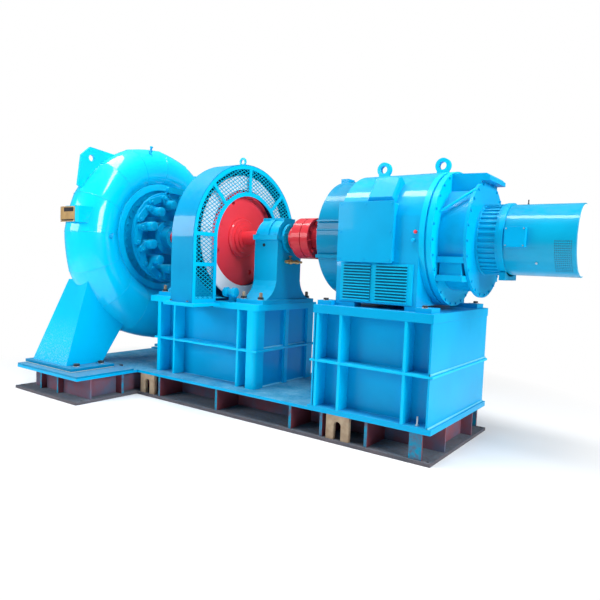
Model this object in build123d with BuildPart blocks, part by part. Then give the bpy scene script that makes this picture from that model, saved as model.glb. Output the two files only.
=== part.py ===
from build123d import *
import math
import os

# Horizontal hydroelectric generating set on a welded base frame.
# X runs along the shaft from turbine to exciter, Y across it, Z up.
# The origin lies on the floor under the middle of the flywheel.

os.makedirs("parts", exist_ok=True)

# Driving dimensions in millimetres
SHAFT_Z = 1770.0
SHAFT_R = 80.0
RUN_FIT = 0.05

SOLE_T = 28.0
SOLE_LIP = 14.0
FRAME_TOP = 266.0
FRAME_TOP_T = 28.0
WEB_T = 16.0
EDGE_IN = 4.0
ANCHOR_R = 15.0
ANCHOR_INSET = 36.0

CROSS_X0 = -1995.0
CROSS_X1 = -858.0
CROSS_HALF = 1400.0
CROSS_INSET = 102.0
CROSS_END_IN = 160.0
CROSS_ANCHOR_IN = 70.0
MAIN_X1 = 2612.0
MAIN_HALF = 650.0
MAIN_INSET = 325.0
STIFFENER_T = 28.0
STIFFENER_X = (-498.0, 350.0, 1270.0, 1607.0, 2050.0)
CORNER_PLATE_X = 2436.0
CORNER_PLATE_W = 110.0
SPLICE_X = (-690.0, 1775.0)
SPLICE_W = 225.0
SPLICE_D = 38.0
SPLICE_GAP = 74.0
SPLICE_ARCH = 122.0

FLANGE_T = 18.0
WALL_T = 16.0
RIB_D = 140.0
RIB_T = 26.0
BAR_D = 34.0
GIRTH_T = 20.0
GIRTH_LIP = 5.0
GIRTH_END = 24.0
FBOX_X0 = -690.0
FBOX_X1 = 680.0
FPLATE_X0 = -850.0
FPLATE_X1 = 740.0
FPLATE_HALF = 512.0
FPLATE_T = 62.0
FPLATE_TOP = 1100.0
FPLATE_CORNER_R = 38.0
FRIB_X = (-436.0, 486.0)
POST_W = 110.0
POST_R = 48.0
FGIRTH_Z = 640.0
SLOT_HALF_X = 130.0
SLOT_HALF_Y = 330.0

GBOX_X0 = 1490.0
GBOX_X1 = 2582.0
GPLATE_OVER = 5.0
GPLATE_T = 73.0
GPLATE_TOP = 1170.0
GRIB_X = (1530.0, 1764.0, 2362.0)
GGIRTH_Z = 685.0

CASE_X = -1420.0
CASE_R_IN = 595.0
CASE_RS0 = 185.0
CASE_GROWTH = 0.53
CASE_STEP = 22.5
CASE_TURN = 270.0
STAY_BAND = 50.0
STAY_R = CASE_R_IN + STAY_BAND
STAY_BORE_R = 560.0
STAY_HALF = 168.0
COVER_T = 50.0
COVER_RECESS = 38.0
SEAL_R = 205.0
SEAL_L = 150.0
GLAND_R = 135.0
GLAND_L = 110.0
INLET_WALL = 14.0
INLET_L = 1010.0
INLET_FLANGE_R = 415.0
INLET_FLANGE_T = 42.0
INLET_PCD = 760.0
INLET_BOLTS = 20
INLET_HOLE_R = 13.5
DRAFT_BORE_R = 345.0
DRAFT_END_R = 395.0
DRAFT_L = 400.0
DRAFT_WALL = 12.0
DRAFT_FLANGE_R = 490.0
DRAFT_FLANGE_T = 32.0
DRAFT_PCD = 900.0
DRAFT_BOLTS = 16
DRAFT_HOLE_R = 11.0
RUNNER_R = 405.0
RUNNER_GAP = 10.0
BLADES = 13

VANES = 12
VANE_START = 104.0
VANE_R = 391.0
BOSS_R = 54.0
BOSS_END_X = -960.0
LEVER_T = 40.0
LEVER_X1 = -1040.0
LEVER_PIN_R = 480.0
LEVER_PIN_TURN = 4.5
LINK_T = 38.0
LINK_W = 76.0
RING_PIN_R = 505.0
RING_PIN_TURN = 24.5
RING_IN_R = 456.0
RING_OUT_R = 540.0
RING_T = 40.0
ROD_H = 74.0
ROD_T = 44.0
ROD_Z = 2328.0
ROD_Y0 = -118.0
ROD_Y1 = 470.0

LUG_T = 36.0
LUG_HOLE_R = 36.0
LUG_HOLE = (105.0, 53.0)
LUG_FLIP = {135.0: 1, 45.0: -1}
LUG_OUTLINE = (
    (-260.0, 330.0), (-2.0, 390.0), (205.0, 126.0), (200.0, -20.0), (-34.0, -212.0),
    (-260.0, -150.0),
)
FOOT_X0 = -1990.0
FOOT_X1 = -1088.0
FOOT_Y = (790.0, 1312.0)
BACK_FOOT_Y = (520.0, 1040.0)
FOOT_PLATE_T = 30.0
SHIM_T = 8.0
SHIM_IN = 5.0
PACKER_T = 18.0
LEG_TOP_Z = 1241.0

FLY_R = 669.0
FLY_W = 206.0
FLY_RIM = 150.0
FLY_WEB = 84.0
FLY_HUB_R = 215.0
FLY_HUB_W = 150.0
FLY_NOSE_R = 160.0
FLY_NOSE_W = 196.0
FLY_TIP_R = 118.0
FLY_TIP_W = 232.0
FLY_HOLE_R = 26.0
FLY_HOLES = 4
FLY_HOLES_AT = 402.0
FLY_HOLE_START = 22.0

GUARD_GAP = 151.0
GUARD_R = FLY_R + GUARD_GAP
GUARD_Z = 1731.0
GUARD_HALF = 152.0
GUARD_T = 8.0
GUARD_FRAME_T = 10.0
GUARD_RING = 48.0
GUARD_IN_R = 531.0
GUARD_IN_RING = 44.0
GUARD_BAR = 38.0
GUARD_BAR_Z = (1471.0, 1773.0)
GUARD_FOOT_Z = 1086.0
MESH_T = 3.0
SHELF_T = 30.0
SHELF_REACH = 52.0
SHELF_X0 = -200.0
SHELF_X1 = 235.0
EYE_R = 46.0
EYE_HOLE_R = 24.0

PED_X = 560.0
PED_X_TURBINE = -620.0
PED_HALF_X = 150.0
PED_HALF_Y = 200.0
PED_FOOT_X = 176.0
PED_FOOT_Y = 430.0
PED_FOOT_T = 42.0
CAP_R = 194.0
CAP_RIB = 12.0
CAP_TOP = 204.0
CAP_FLANGE_T = 26.0
CAP_FLANGE_OUT = 26.0
BEARING_COVER_R = 152.0
BEARING_COVER_T = 28.0

COUPLING_X0 = 778.0
COUPLING_SPLIT = 975.0
COUPLING_GAP = 8.0
COUPLING_R = 203.0
COUPLING_HUB_R = 122.0
COUPLING_X1 = 1066.0

HOOD_X0 = 1395.0
STATOR_X0 = 1500.0
RING_X0 = 2389.0
RING_X1 = 2495.0
STATOR_R = 564.0
HOOD_R = 530.0
STATOR_SIDE = 545.0
STATOR_BASE = 1208.0
HOOD_RIDGES = ((1898.0, 14.0), (1820.0, 14.0), (1588.0, 28.0))
RIDGE_OUT = 10.0
REAR_R = 431.0
REAR_X1 = 2713.0
REAR_PLATE_T = 24.0
REAR_PLATE_R = 478.0
EXC_X0 = 2911.0
EXC_X1 = 3470.0
EXC_R = 280.0
EXC_RING_R = 290.0
EXC_STRAP = 42.0
EXC_CAP_T = 8.0
SHAFT_END_X = 1640.0
TERM_X0 = 1675.0
TERM_X1 = 2190.0
TERM_Z0 = 1545.0
TERM_Z1 = 2043.0
TERM_OUT = 66.0
LID_T = 8.0
LID_LIP = 12.0
PANEL_X0 = 1687.0
PANEL_X1 = 2352.0
PANEL_Z1 = 1542.0
PANEL_T = 12.0
LOUVRES = 13
LOUVRE_PITCH = 24.4
LOUVRE_H = 11.0
LOUVRE_D = 14.0
LOUVRE_COLUMNS = ((1716.0, 1979.0), (2025.0, 2306.0))

FBOX_HALF = FPLATE_HALF - 3
GBOX_HALF = MAIN_HALF - 2
GPLATE_HALF = GBOX_HALF + 4
GBOX_Z0 = FRAME_TOP + FLANGE_T
FRAME_Z0 = FRAME_TOP - FRAME_TOP_T
FPLATE_Z0 = FPLATE_TOP - FPLATE_T
GPLATE_Z0 = GPLATE_TOP - GPLATE_T
FOOT_Z = FRAME_TOP + PACKER_T + SHIM_T + FOOT_PLATE_T


def section_radius(angle):
    """Radius of the spiral section at an angle in degrees from +Y towards +Z."""
    return CASE_RS0 + CASE_GROWTH * angle


def case_edge(angle):
    """Distance of the case's outer edge from the shaft axis at an angle."""
    return CASE_R_IN + 2 * section_radius(angle)


def section_plane(angle):
    """Plane through the shaft axis, centred on the spiral section."""
    turn = math.radians(angle)
    reach = CASE_R_IN + section_radius(angle)
    return Plane(
        origin=(CASE_X, reach * math.cos(turn), SHAFT_Z + reach * math.sin(turn)),
        x_dir=(1, 0, 0),
        z_dir=(0, -math.sin(turn), math.cos(turn)),
    )


def shaft_plane(x):
    """Plane square to the shaft at x, its local x along world Y, local y up."""
    return Plane(origin=(x, 0, SHAFT_Z), x_dir=(0, 1, 0), z_dir=(1, 0, 0))


def front_plane(y):
    """Plane square to Y at y, its local x along world X, local y up, facing -Y."""
    return Plane(origin=(0, y, 0), x_dir=(1, 0, 0), z_dir=(0, -1, 0))


def polar(radius, angle):
    """Point in a shaft plane at a radius and an angle in degrees."""
    turn = math.radians(angle)
    return (radius * math.cos(turn), radius * math.sin(turn))


def save(part, label):
    """Name a finished part and write its file."""
    part.label = label
    export_step(part, "parts/" + label + ".step")


def block(x0, x1, y0, y1, z0, z1, mode=Mode.ADD):
    """Add an axis-aligned block to the open part, its y limits in any order."""
    with Locations(((x0 + x1) / 2, (y0 + y1) / 2, (z0 + z1) / 2)):
        Box(x1 - x0, abs(y1 - y0), z1 - z0, mode=mode)


def disc(x0, x1, radius, mode=Mode.ADD):
    """Add a cylinder about the shaft axis from x0 to x1."""
    with BuildSketch(shaft_plane(x0)) as circle:
        Circle(radius)
    extrude(circle.sketch, amount=x1 - x0, mode=mode)


def anchor_holes(x_list, y_list):
    """Drill the anchor holes through a sole plate."""
    for hole_x in x_list:
        for hole_y in y_list:
            with Locations((hole_x, hole_y, SOLE_T / 2)):
                Cylinder(ANCHOR_R, 2 * SOLE_T, mode=Mode.SUBTRACT)


# Foundation frame: sole plates drilled for anchors, webs, stiffeners, top plates
CROSS_ANCHOR_X = (CROSS_X0 - SOLE_LIP + ANCHOR_INSET, CROSS_X1 + SOLE_LIP - ANCHOR_INSET)
CROSS_ANCHOR_Y = CROSS_HALF - CROSS_ANCHOR_IN
MAIN_ANCHOR_X = (-250.0, MAIN_X1 + SOLE_LIP - ANCHOR_INSET)
MAIN_ANCHOR_Y = MAIN_HALF + SOLE_LIP - ANCHOR_INSET
SPLIT_X = CROSS_X1 + SOLE_LIP
with BuildPart() as cross_sole:
    sole_half = CROSS_HALF + SOLE_LIP
    block(CROSS_X0 - SOLE_LIP, SPLIT_X, -sole_half, sole_half, 0, SOLE_T)
    anchor_holes(CROSS_ANCHOR_X, (-CROSS_ANCHOR_Y, CROSS_ANCHOR_Y))
save(cross_sole.part, "cross_frame_sole_plate")

with BuildPart() as main_sole:
    sole_half = MAIN_HALF + SOLE_LIP
    block(SPLIT_X, MAIN_X1 + SOLE_LIP, -sole_half, sole_half, 0, SOLE_T)
    anchor_holes(MAIN_ANCHOR_X, (-MAIN_ANCHOR_Y, MAIN_ANCHOR_Y))
save(main_sole.part, "main_frame_sole_plate")

CROSS_END_Y = CROSS_HALF - CROSS_END_IN
CROSS_WEB_X0 = CROSS_X0 + CROSS_INSET
CROSS_WEB_X1 = CROSS_X1 - CROSS_INSET
MAIN_WEB_Y = MAIN_HALF - MAIN_INSET
with BuildPart() as frame_webs:
    web_y = CROSS_END_Y - WEB_T
    for start in (CROSS_WEB_X0, CROSS_WEB_X1 - WEB_T):
        block(start, start + WEB_T, -web_y, web_y, SOLE_T, FRAME_Z0)
    for side in (-1, 1):
        block(
            CROSS_WEB_X1, MAIN_X1 - EDGE_IN, side * (MAIN_WEB_Y - WEB_T), side * MAIN_WEB_Y,
            SOLE_T, FRAME_Z0,
        )
save(frame_webs.part, "frame_webs")

# Stiffeners of the cross frame stand at even steps between its end webs
CROSS_STIFFENER_Y = (CROSS_END_Y * 0.34, CROSS_END_Y * 0.68)
END_BAR_X = (CROSS_WEB_X0 + 205, CROSS_WEB_X0 + 530)
END_BAR_D = 60.0
with BuildPart() as stiffeners:
    half_t = STIFFENER_T / 2
    for mid_y in [side * reach for side in (-1, 1) for reach in CROSS_STIFFENER_Y]:
        for x0, x1 in (
            (CROSS_X0 + EDGE_IN, CROSS_WEB_X0),
            (CROSS_WEB_X0 + WEB_T, CROSS_WEB_X1 - WEB_T),
            (CROSS_WEB_X1, CROSS_X1 - EDGE_IN),
        ):
            block(x0, x1, mid_y - half_t, mid_y + half_t, SOLE_T, FRAME_Z0)
    for side in (-1, 1):
        for mid_x in END_BAR_X:
            block(
                mid_x - half_t, mid_x + half_t, side * CROSS_END_Y,
                side * (CROSS_END_Y + END_BAR_D), SOLE_T, FRAME_Z0,
            )
        y_out = side * (MAIN_HALF - EDGE_IN)
        for mid_x in STIFFENER_X:
            block(mid_x - half_t, mid_x + half_t, side * MAIN_WEB_Y, y_out, SOLE_T, FRAME_Z0)
        block(
            CORNER_PLATE_X, CORNER_PLATE_X + CORNER_PLATE_W, y_out - side * WEB_T, y_out,
            SOLE_T, FRAME_Z0,
        )
save(stiffeners.part, "frame_stiffeners")

END_WEB_X = (CROSS_X1 + 160, 420.0, 1480.0, MAIN_X1 - 110)
with BuildPart() as cross_webs:
    for side in (-1, 1):
        block(
            CROSS_WEB_X0, CROSS_X1 - EDGE_IN, side * (CROSS_END_Y - WEB_T), side * CROSS_END_Y,
            SOLE_T, FRAME_Z0,
        )
    inner_y = MAIN_WEB_Y - WEB_T
    for mid_x in END_WEB_X:
        block(mid_x - WEB_T / 2, mid_x + WEB_T / 2, -inner_y, inner_y, SOLE_T, FRAME_Z0)
save(cross_webs.part, "frame_cross_webs")

with BuildPart() as cross_top:
    block(CROSS_X0, CROSS_X1, -CROSS_HALF, CROSS_HALF, FRAME_Z0, FRAME_TOP)
save(cross_top.part, "cross_frame_top_plate")

with BuildPart() as main_top:
    block(CROSS_X1, MAIN_X1, -MAIN_HALF, MAIN_HALF, FRAME_Z0, FRAME_TOP)
save(main_top.part, "main_frame_top_plate")

# Splice lugs: inverted-U straps between the plates at the joints of the frame sections
with BuildPart() as splice_lugs:
    for y_near in (SPLICE_D - MAIN_HALF, MAIN_HALF):
        with BuildSketch(front_plane(y_near)):
            for mid_x in SPLICE_X:
                with Locations((mid_x, (SOLE_T + FRAME_Z0) / 2)):
                    Rectangle(SPLICE_W, FRAME_Z0 - SOLE_T)
                with Locations((mid_x, SOLE_T + SPLICE_ARCH / 2)):
                    Rectangle(SPLICE_GAP, SPLICE_ARCH, mode=Mode.SUBTRACT)
                with Locations((mid_x, SOLE_T + SPLICE_ARCH)):
                    Circle(SPLICE_GAP / 2, mode=Mode.SUBTRACT)
        extrude(amount=SPLICE_D)
save(splice_lugs.part, "splice_lugs")


# Welded boxes under the flywheel and the generator: walls set in behind deep ribs.
# Each row: ends in x, outer half width, half width of the end walls, foot, top, height of
# the girth bar and how far it stands out from the ends.
BOXES = (
    (
        FBOX_X0, FBOX_X1, FBOX_HALF, FBOX_HALF - RIB_D, FRAME_TOP, FPLATE_Z0, FGIRTH_Z,
        BAR_D + GIRTH_END,
    ),
    (GBOX_X0, GBOX_X1, GBOX_HALF, GBOX_HALF, GBOX_Z0, GPLATE_Z0, GGIRTH_Z, GIRTH_END),
)


def storeys(z0, z1, girth_z):
    """Heights of the two runs of a rib, below and above the girth bar."""
    return ((z0, girth_z - GIRTH_T / 2), (girth_z + GIRTH_T / 2, z1))


with BuildPart() as side_walls:
    for x0, x1, half, end_half, z0, z1, girth_z, reach in BOXES:
        wall = half - RIB_D
        for side in (-1, 1):
            block(x0 + WALL_T, x1 - WALL_T, side * (wall - WALL_T), side * wall, z0, z1)
save(side_walls.part, "box_side_walls")

with BuildPart() as end_walls:
    for x0, x1, half, end_half, z0, z1, girth_z, reach in BOXES:
        for start in (x0, x1 - WALL_T):
            block(start, start + WALL_T, -end_half, end_half, z0, z1)
save(end_walls.part, "box_end_walls")

with BuildPart() as box_ribs:
    for (x0, x1, half, end_half, z0, z1, girth_z, reach), rib_x in zip(BOXES, (FRIB_X, GRIB_X)):
        for z_low, z_high in storeys(z0, z1, girth_z):
            for side in (-1, 1):
                for mid_x in rib_x:
                    block(
                        mid_x - RIB_T / 2, mid_x + RIB_T / 2, side * (half - RIB_D),
                        side * half, z_low, z_high,
                    )
    for z_low, z_high in storeys(FRAME_TOP, FPLATE_Z0, FGIRTH_Z):
        block(FBOX_X1, FBOX_X1 + BAR_D, -RIB_T, RIB_T, z_low, z_high)
        for side in (-1, 1):
            block(
                FBOX_X0 - WALL_T, FBOX_X0 + BAR_D, side * (FBOX_HALF - RIB_D),
                side * FBOX_HALF, z_low, z_high,
            )
            post_x = FBOX_X1 + BAR_D
            with BuildSketch(Plane.XY.offset(z_low)) as post:
                with Locations((post_x - POST_W / 2, side * (FBOX_HALF - RIB_D / 2))):
                    Rectangle(POST_W, RIB_D)
                corner = post.vertices().sort_by_distance((post_x, side * FBOX_HALF, z_low))[0]
                fillet(corner, radius=POST_R)
            extrude(post.sketch, amount=z_high - z_low)
save(box_ribs.part, "box_upright_ribs")

with BuildPart() as girths:
    for x0, x1, half, end_half, z0, z1, girth_z, reach in BOXES:
        z_low = girth_z - GIRTH_T / 2
        z_high = girth_z + GIRTH_T / 2
        wall = half - RIB_D
        lip = half + GIRTH_LIP
        block(x0 - reach, x1 + reach, -lip, lip, z_low, z_high)
        block(x0 + WALL_T, x1 - WALL_T, -wall, wall, z_low, z_high, mode=Mode.SUBTRACT)
        for start in (x0, x1 - WALL_T):
            block(start, start + WALL_T, -end_half, end_half, z_low, z_high, mode=Mode.SUBTRACT)
save(girths.part, "box_girth_ribs")

with BuildPart() as bottom_flange:
    block(GBOX_X0 - BAR_D, MAIN_X1, -MAIN_HALF, MAIN_HALF, FRAME_TOP, GBOX_Z0)
save(bottom_flange.part, "box_bottom_flanges")

with BuildPart() as fbox_top:
    block(FPLATE_X0, FPLATE_X1, -FPLATE_HALF, FPLATE_HALF, FPLATE_Z0, FPLATE_TOP)
    fillet(fbox_top.edges().filter_by(Axis.Z), radius=FPLATE_CORNER_R)
    block(
        -SLOT_HALF_X, SLOT_HALF_X, -SLOT_HALF_Y, SLOT_HALF_Y, FPLATE_Z0, FPLATE_TOP,
        mode=Mode.SUBTRACT,
    )
save(fbox_top.part, "flywheel_box_top_plate")

with BuildPart() as gbox_top:
    block(
        GBOX_X0 - GPLATE_OVER, GBOX_X1 + GPLATE_OVER, -GPLATE_HALF, GPLATE_HALF,
        GPLATE_Z0, GPLATE_TOP,
    )
save(gbox_top.part, "generator_box_top_plate")

# Shelves that carry the guard's feet beside the top plate
SHELF_TOP = GUARD_FOOT_Z
SHELF_OUT = GUARD_R + SHELF_REACH
with BuildPart() as shelves:
    for side in (-1, 1):
        block(
            SHELF_X0, SHELF_X1, side * FPLATE_HALF, side * SHELF_OUT, SHELF_TOP - SHELF_T, SHELF_TOP
        )
save(shelves.part, "guard_shelves")

# Spiral case of rolled and welded segments, growing to the inlet at the bottom
CASE_ANGLES = [CASE_STEP * k for k in range(int(CASE_TURN / CASE_STEP) + 1)]
with BuildPart() as case:
    for angle in CASE_ANGLES:
        with BuildSketch(section_plane(angle)):
            Circle(section_radius(angle))
    loft(ruled=True)
    disc(CASE_X - 500, CASE_X + 500, STAY_R, mode=Mode.SUBTRACT)
save(case.part, "spiral_case")

# Inlet pipe, tangent to the case at its largest section, with a drilled flange
INLET_R = section_radius(CASE_TURN)
INLET_Z = SHAFT_Z - CASE_R_IN - INLET_R


def inlet_plane(y):
    """Plane square to the inlet pipe at y."""
    return Plane(origin=(CASE_X, y, INLET_Z), x_dir=(1, 0, 0), z_dir=(0, 1, 0))


with BuildPart() as inlet:
    with BuildSketch(inlet_plane(0)):
        Circle(INLET_R)
    extrude(amount=INLET_L)
    with BuildSketch(inlet_plane(INLET_L)):
        Circle(INLET_FLANGE_R)
        with PolarLocations(INLET_PCD / 2, INLET_BOLTS):
            Circle(INLET_HOLE_R, mode=Mode.SUBTRACT)
    extrude(amount=INLET_FLANGE_T)
    with BuildSketch(inlet_plane(0)):
        Circle(INLET_R - INLET_WALL)
    extrude(amount=INLET_L + INLET_FLANGE_T, mode=Mode.SUBTRACT)
    disc(CASE_X - 500, CASE_X + 500, STAY_R, mode=Mode.SUBTRACT)
save(inlet.part, "inlet_pipe")

# Stay ring between the two covers
HEAD_X1 = CASE_X + STAY_HALF - COVER_RECESS
HEAD_X0 = HEAD_X1 - COVER_T
REAR_COVER_X0 = CASE_X - STAY_HALF + COVER_RECESS
with BuildPart() as stay:
    disc(CASE_X - STAY_HALF, CASE_X + STAY_HALF, STAY_R)
    disc(CASE_X - STAY_HALF, CASE_X + STAY_HALF, STAY_BORE_R, mode=Mode.SUBTRACT)
    chamfer(stay.faces().sort_by(Axis.X)[-1].edges(), length=10)
save(stay.part, "stay_ring")

LEVER_X0 = LEVER_X1 - LEVER_T
VANE_ANGLES = [VANE_START + 360 * k / VANES for k in range(VANES)]
with BuildPart() as head:
    disc(HEAD_X0, HEAD_X1, STAY_BORE_R)
    with BuildSketch(shaft_plane(HEAD_X1)):
        for angle in VANE_ANGLES:
            with Locations(polar(VANE_R, angle)):
                Circle(BOSS_R)
    extrude(amount=LEVER_X0 - HEAD_X1)
    disc(HEAD_X0, HEAD_X1, SHAFT_R + RUN_FIT, mode=Mode.SUBTRACT)
save(head.part, "head_cover")

with BuildPart() as seal:
    disc(HEAD_X1, HEAD_X1 + SEAL_L, SEAL_R)
    disc(HEAD_X1 + SEAL_L, HEAD_X1 + SEAL_L + GLAND_L, GLAND_R)
    fillet(seal.edges().filter_by(GeomType.CIRCLE).group_by(SortBy.RADIUS)[-1], radius=8)
    disc(HEAD_X1, HEAD_X1 + SEAL_L + GLAND_L, SHAFT_R + RUN_FIT, mode=Mode.SUBTRACT)
save(seal.part, "shaft_seal_housing")

# Draft side: ring cover, cone and drilled flange
CONE_X1 = REAR_COVER_X0
CONE_X0 = CONE_X1 - DRAFT_L
with BuildPart() as rear_ring:
    disc(REAR_COVER_X0, REAR_COVER_X0 + COVER_T, STAY_BORE_R)
    disc(REAR_COVER_X0, REAR_COVER_X0 + COVER_T, DRAFT_BORE_R, mode=Mode.SUBTRACT)
save(rear_ring.part, "draft_side_cover")

with BuildPart() as cone:
    with BuildSketch(Plane.XZ):
        with BuildLine():
            Polyline(
                (CONE_X1, SHAFT_Z + DRAFT_BORE_R),
                (CONE_X0, SHAFT_Z + DRAFT_END_R),
                (CONE_X0, SHAFT_Z + DRAFT_END_R + DRAFT_WALL),
                (CONE_X1, SHAFT_Z + DRAFT_BORE_R + DRAFT_WALL),
                close=True,
            )
        make_face()
    revolve(axis=Axis((0, 0, SHAFT_Z), (1, 0, 0)))
    with BuildSketch(shaft_plane(CONE_X0 - DRAFT_FLANGE_T)):
        Circle(DRAFT_FLANGE_R)
        Circle(DRAFT_END_R, mode=Mode.SUBTRACT)
        with PolarLocations(DRAFT_PCD / 2, DRAFT_BOLTS):
            Circle(DRAFT_HOLE_R, mode=Mode.SUBTRACT)
    extrude(amount=DRAFT_FLANGE_T)
save(cone.part, "draft_cone")

# Runner: crown, band and curved blades between them, on the shaft's end
CROWN_X1 = HEAD_X0 - RUNNER_GAP
BAND_X0 = REAR_COVER_X0 + RUNNER_GAP
BAND_R = DRAFT_BORE_R - RUNNER_GAP
HUB_TIP_R = 60.0
with BuildPart() as runner:
    with BuildSketch(Plane.XZ):
        with BuildLine():
            Polyline(
                (CROWN_X1, SHAFT_Z + SHAFT_R),
                (CROWN_X1, SHAFT_Z + RUNNER_R),
                (CROWN_X1 - 22, SHAFT_Z + RUNNER_R),
                (CROWN_X1 - 60, SHAFT_Z + 190),
                (CROWN_X1 - 150, SHAFT_Z + HUB_TIP_R),
                (CROWN_X1 - 150, SHAFT_Z),
                (CASE_X, SHAFT_Z),
                (CASE_X, SHAFT_Z + SHAFT_R),
                close=True,
            )
        make_face()
    revolve(axis=Axis((0, 0, SHAFT_Z), (1, 0, 0)))
    with BuildSketch(shaft_plane(BAND_X0)):
        Circle(BAND_R)
        Circle(BAND_R - 14, mode=Mode.SUBTRACT)
    extrude(amount=60)
    for k in range(BLADES):
        turn = 360 * k / BLADES
        with BuildSketch(shaft_plane(BAND_X0 + 8)):
            with BuildLine():
                ThreePointArc(polar(120, turn), polar(230, turn + 12), polar(BAND_R - 5, turn + 34))
                ThreePointArc(polar(BAND_R - 5, turn + 34), polar(242, turn + 9), polar(120, turn))
            make_face()
        extrude(amount=CROWN_X1 - BAND_X0 - 20)
save(runner.part, "runner")

# Guide-vane gear: levers on the vane stems, links and the operating ring
LINK_X0 = LEVER_X0 - LINK_T


def bar_sketch(start, end, start_r, end_r):
    """Outline of a flat bar with round ends of two radii."""
    with BuildSketch(mode=Mode.PRIVATE) as outline:
        with Locations(start):
            Circle(start_r)
        with Locations(end):
            Circle(end_r)
        make_hull()
    return outline.sketch


with BuildPart() as levers:
    with BuildSketch(shaft_plane(LEVER_X0)):
        for angle in VANE_ANGLES:
            pin = polar(LEVER_PIN_R, angle + LEVER_PIN_TURN)
            add(bar_sketch(polar(VANE_R, angle), pin, BOSS_R, LINK_W / 2))
    extrude(amount=LEVER_T)
    with BuildSketch(shaft_plane(LEVER_X1)):
        for angle in VANE_ANGLES:
            with Locations(polar(VANE_R, angle)):
                Circle(BOSS_R)
    extrude(amount=BOSS_END_X - LEVER_X1)
save(levers.part, "guide_vane_levers")

with BuildPart() as links:
    with BuildSketch(shaft_plane(LINK_X0)):
        for angle in VANE_ANGLES:
            start = polar(LEVER_PIN_R, angle + LEVER_PIN_TURN)
            end = polar(RING_PIN_R, angle + RING_PIN_TURN)
            add(bar_sketch(start, end, LINK_W / 2, LINK_W / 2))
    extrude(amount=LINK_T)
save(links.part, "guide_vane_links")

with BuildPart() as operating_ring:
    with BuildSketch(shaft_plane(LINK_X0 - RING_T)):
        Circle(RING_OUT_R)
        Circle(RING_IN_R, mode=Mode.SUBTRACT)
    extrude(amount=RING_T)
save(operating_ring.part, "operating_ring")

with BuildPart() as rod:
    block(LEVER_X0, LEVER_X0 + ROD_T, ROD_Y0, ROD_Y1, ROD_Z - ROD_H / 2, ROD_Z + ROD_H / 2)
    fillet(rod.edges().filter_by(Axis.X), radius=30)
save(rod.part, "regulating_rod")

# Lifting lugs welded on the crown of the case
with BuildPart() as lugs:
    for angle, flip in LUG_FLIP.items():
        foot_y, foot_z = polar(case_edge(angle), angle)
        radial = Plane(
            origin=(CASE_X - LUG_T / 2, foot_y, SHAFT_Z + foot_z),
            x_dir=(0, *polar(1, angle)),
            z_dir=(1, 0, 0),
        )
        with BuildSketch(radial) as outline:
            with BuildLine():
                Polyline(*[(out, flip * across) for out, across in LUG_OUTLINE], close=True)
            make_face()
            fillet(outline.vertices().group_by(SortBy.DISTANCE)[-1], radius=36)
            with Locations((LUG_HOLE[0], flip * LUG_HOLE[1])):
                Circle(LUG_HOLE_R, mode=Mode.SUBTRACT)
        extrude(amount=LUG_T)
    add(case.part, mode=Mode.SUBTRACT)
save(lugs.part, "lifting_lugs")

# Nameplate and its bracket on the case's outer edge, left blank
PLATE_Z = 1950.0
PLATE_X = -1419.0
PLATE_W = 264.0
PLATE_H = 165.0
PLATE_T = 4.0
PLATE_GAP = 10.0
PLATE_Y = -case_edge(180.0) - PLATE_GAP
BRACKET_X1 = -1215.0
BRACKET_W = 245.0
BRACKET_H = 176.0
BRACKET_D = 180.0
with BuildPart() as nameplate:
    block(
        PLATE_X - PLATE_W / 2, PLATE_X + PLATE_W / 2, PLATE_Y - PLATE_T, PLATE_Y,
        PLATE_Z - PLATE_H / 2, PLATE_Z + PLATE_H / 2,
    )
save(nameplate.part, "nameplate")

with BuildPart() as plate_bracket:
    block(
        BRACKET_X1 - BRACKET_W, BRACKET_X1, PLATE_Y, PLATE_Y + BRACKET_D,
        PLATE_Z - BRACKET_H / 2, PLATE_Z + BRACKET_H / 2,
    )
    add(case.part, mode=Mode.SUBTRACT)
save(plate_bracket.part, "nameplate_bracket")

# Legs: tapered boxes from the foot plates up to the case, the back one a pipe saddle
FEET = ((-FOOT_Y[1], -FOOT_Y[0]), BACK_FOOT_Y)
SHIM_TOP = FOOT_Z - FOOT_PLATE_T
with BuildPart() as foot_plates:
    for y0, y1 in FEET:
        block(FOOT_X0, FOOT_X1, y0, y1, SHIM_TOP, FOOT_Z)
        block(
            FOOT_X0 + SHIM_IN, FOOT_X1 - SHIM_IN, y0 + SHIM_IN, y1 - SHIM_IN,
            SHIM_TOP - SHIM_T, SHIM_TOP,
        )
save(foot_plates.part, "leg_foot_plates")

PACKER_Y0 = 700.0
BACK_PACKER_Y0 = 470.0
with BuildPart() as packers:
    for y0, y1 in ((-CROSS_HALF + 2, -PACKER_Y0), (BACK_PACKER_Y0, CROSS_HALF - 2)):
        block(CROSS_X0 + 2, CROSS_X1 - 2, y0, y1, FRAME_TOP, FRAME_TOP + PACKER_T)
save(packers.part, "leg_packer_plates")

LEG_FOOT = (-1925.0, -1270.0, -1260.0, -815.0)
LEG_HEAD = (-1640.0, -1275.0, -1007.0, -205.0)
BACK_FOOT = (-1925.0, -1270.0, 560.0, 980.0)
BACK_HEAD = (-1640.0, -1275.0, 205.0, 900.0)
LEG_CLEAR = 60.0


def leg_loft(foot, head):
    """Tapered box from a rectangle on the foot plate to one inside the case."""
    for z, (x0, x1, y0, y1) in ((FOOT_Z, foot), (LEG_TOP_Z, head)):
        with BuildSketch(Plane.XY.offset(z)) as level:
            with Locations(((x0 + x1) / 2, (y0 + y1) / 2)):
                Rectangle(x1 - x0, y1 - y0)
        yield level.sketch


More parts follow.
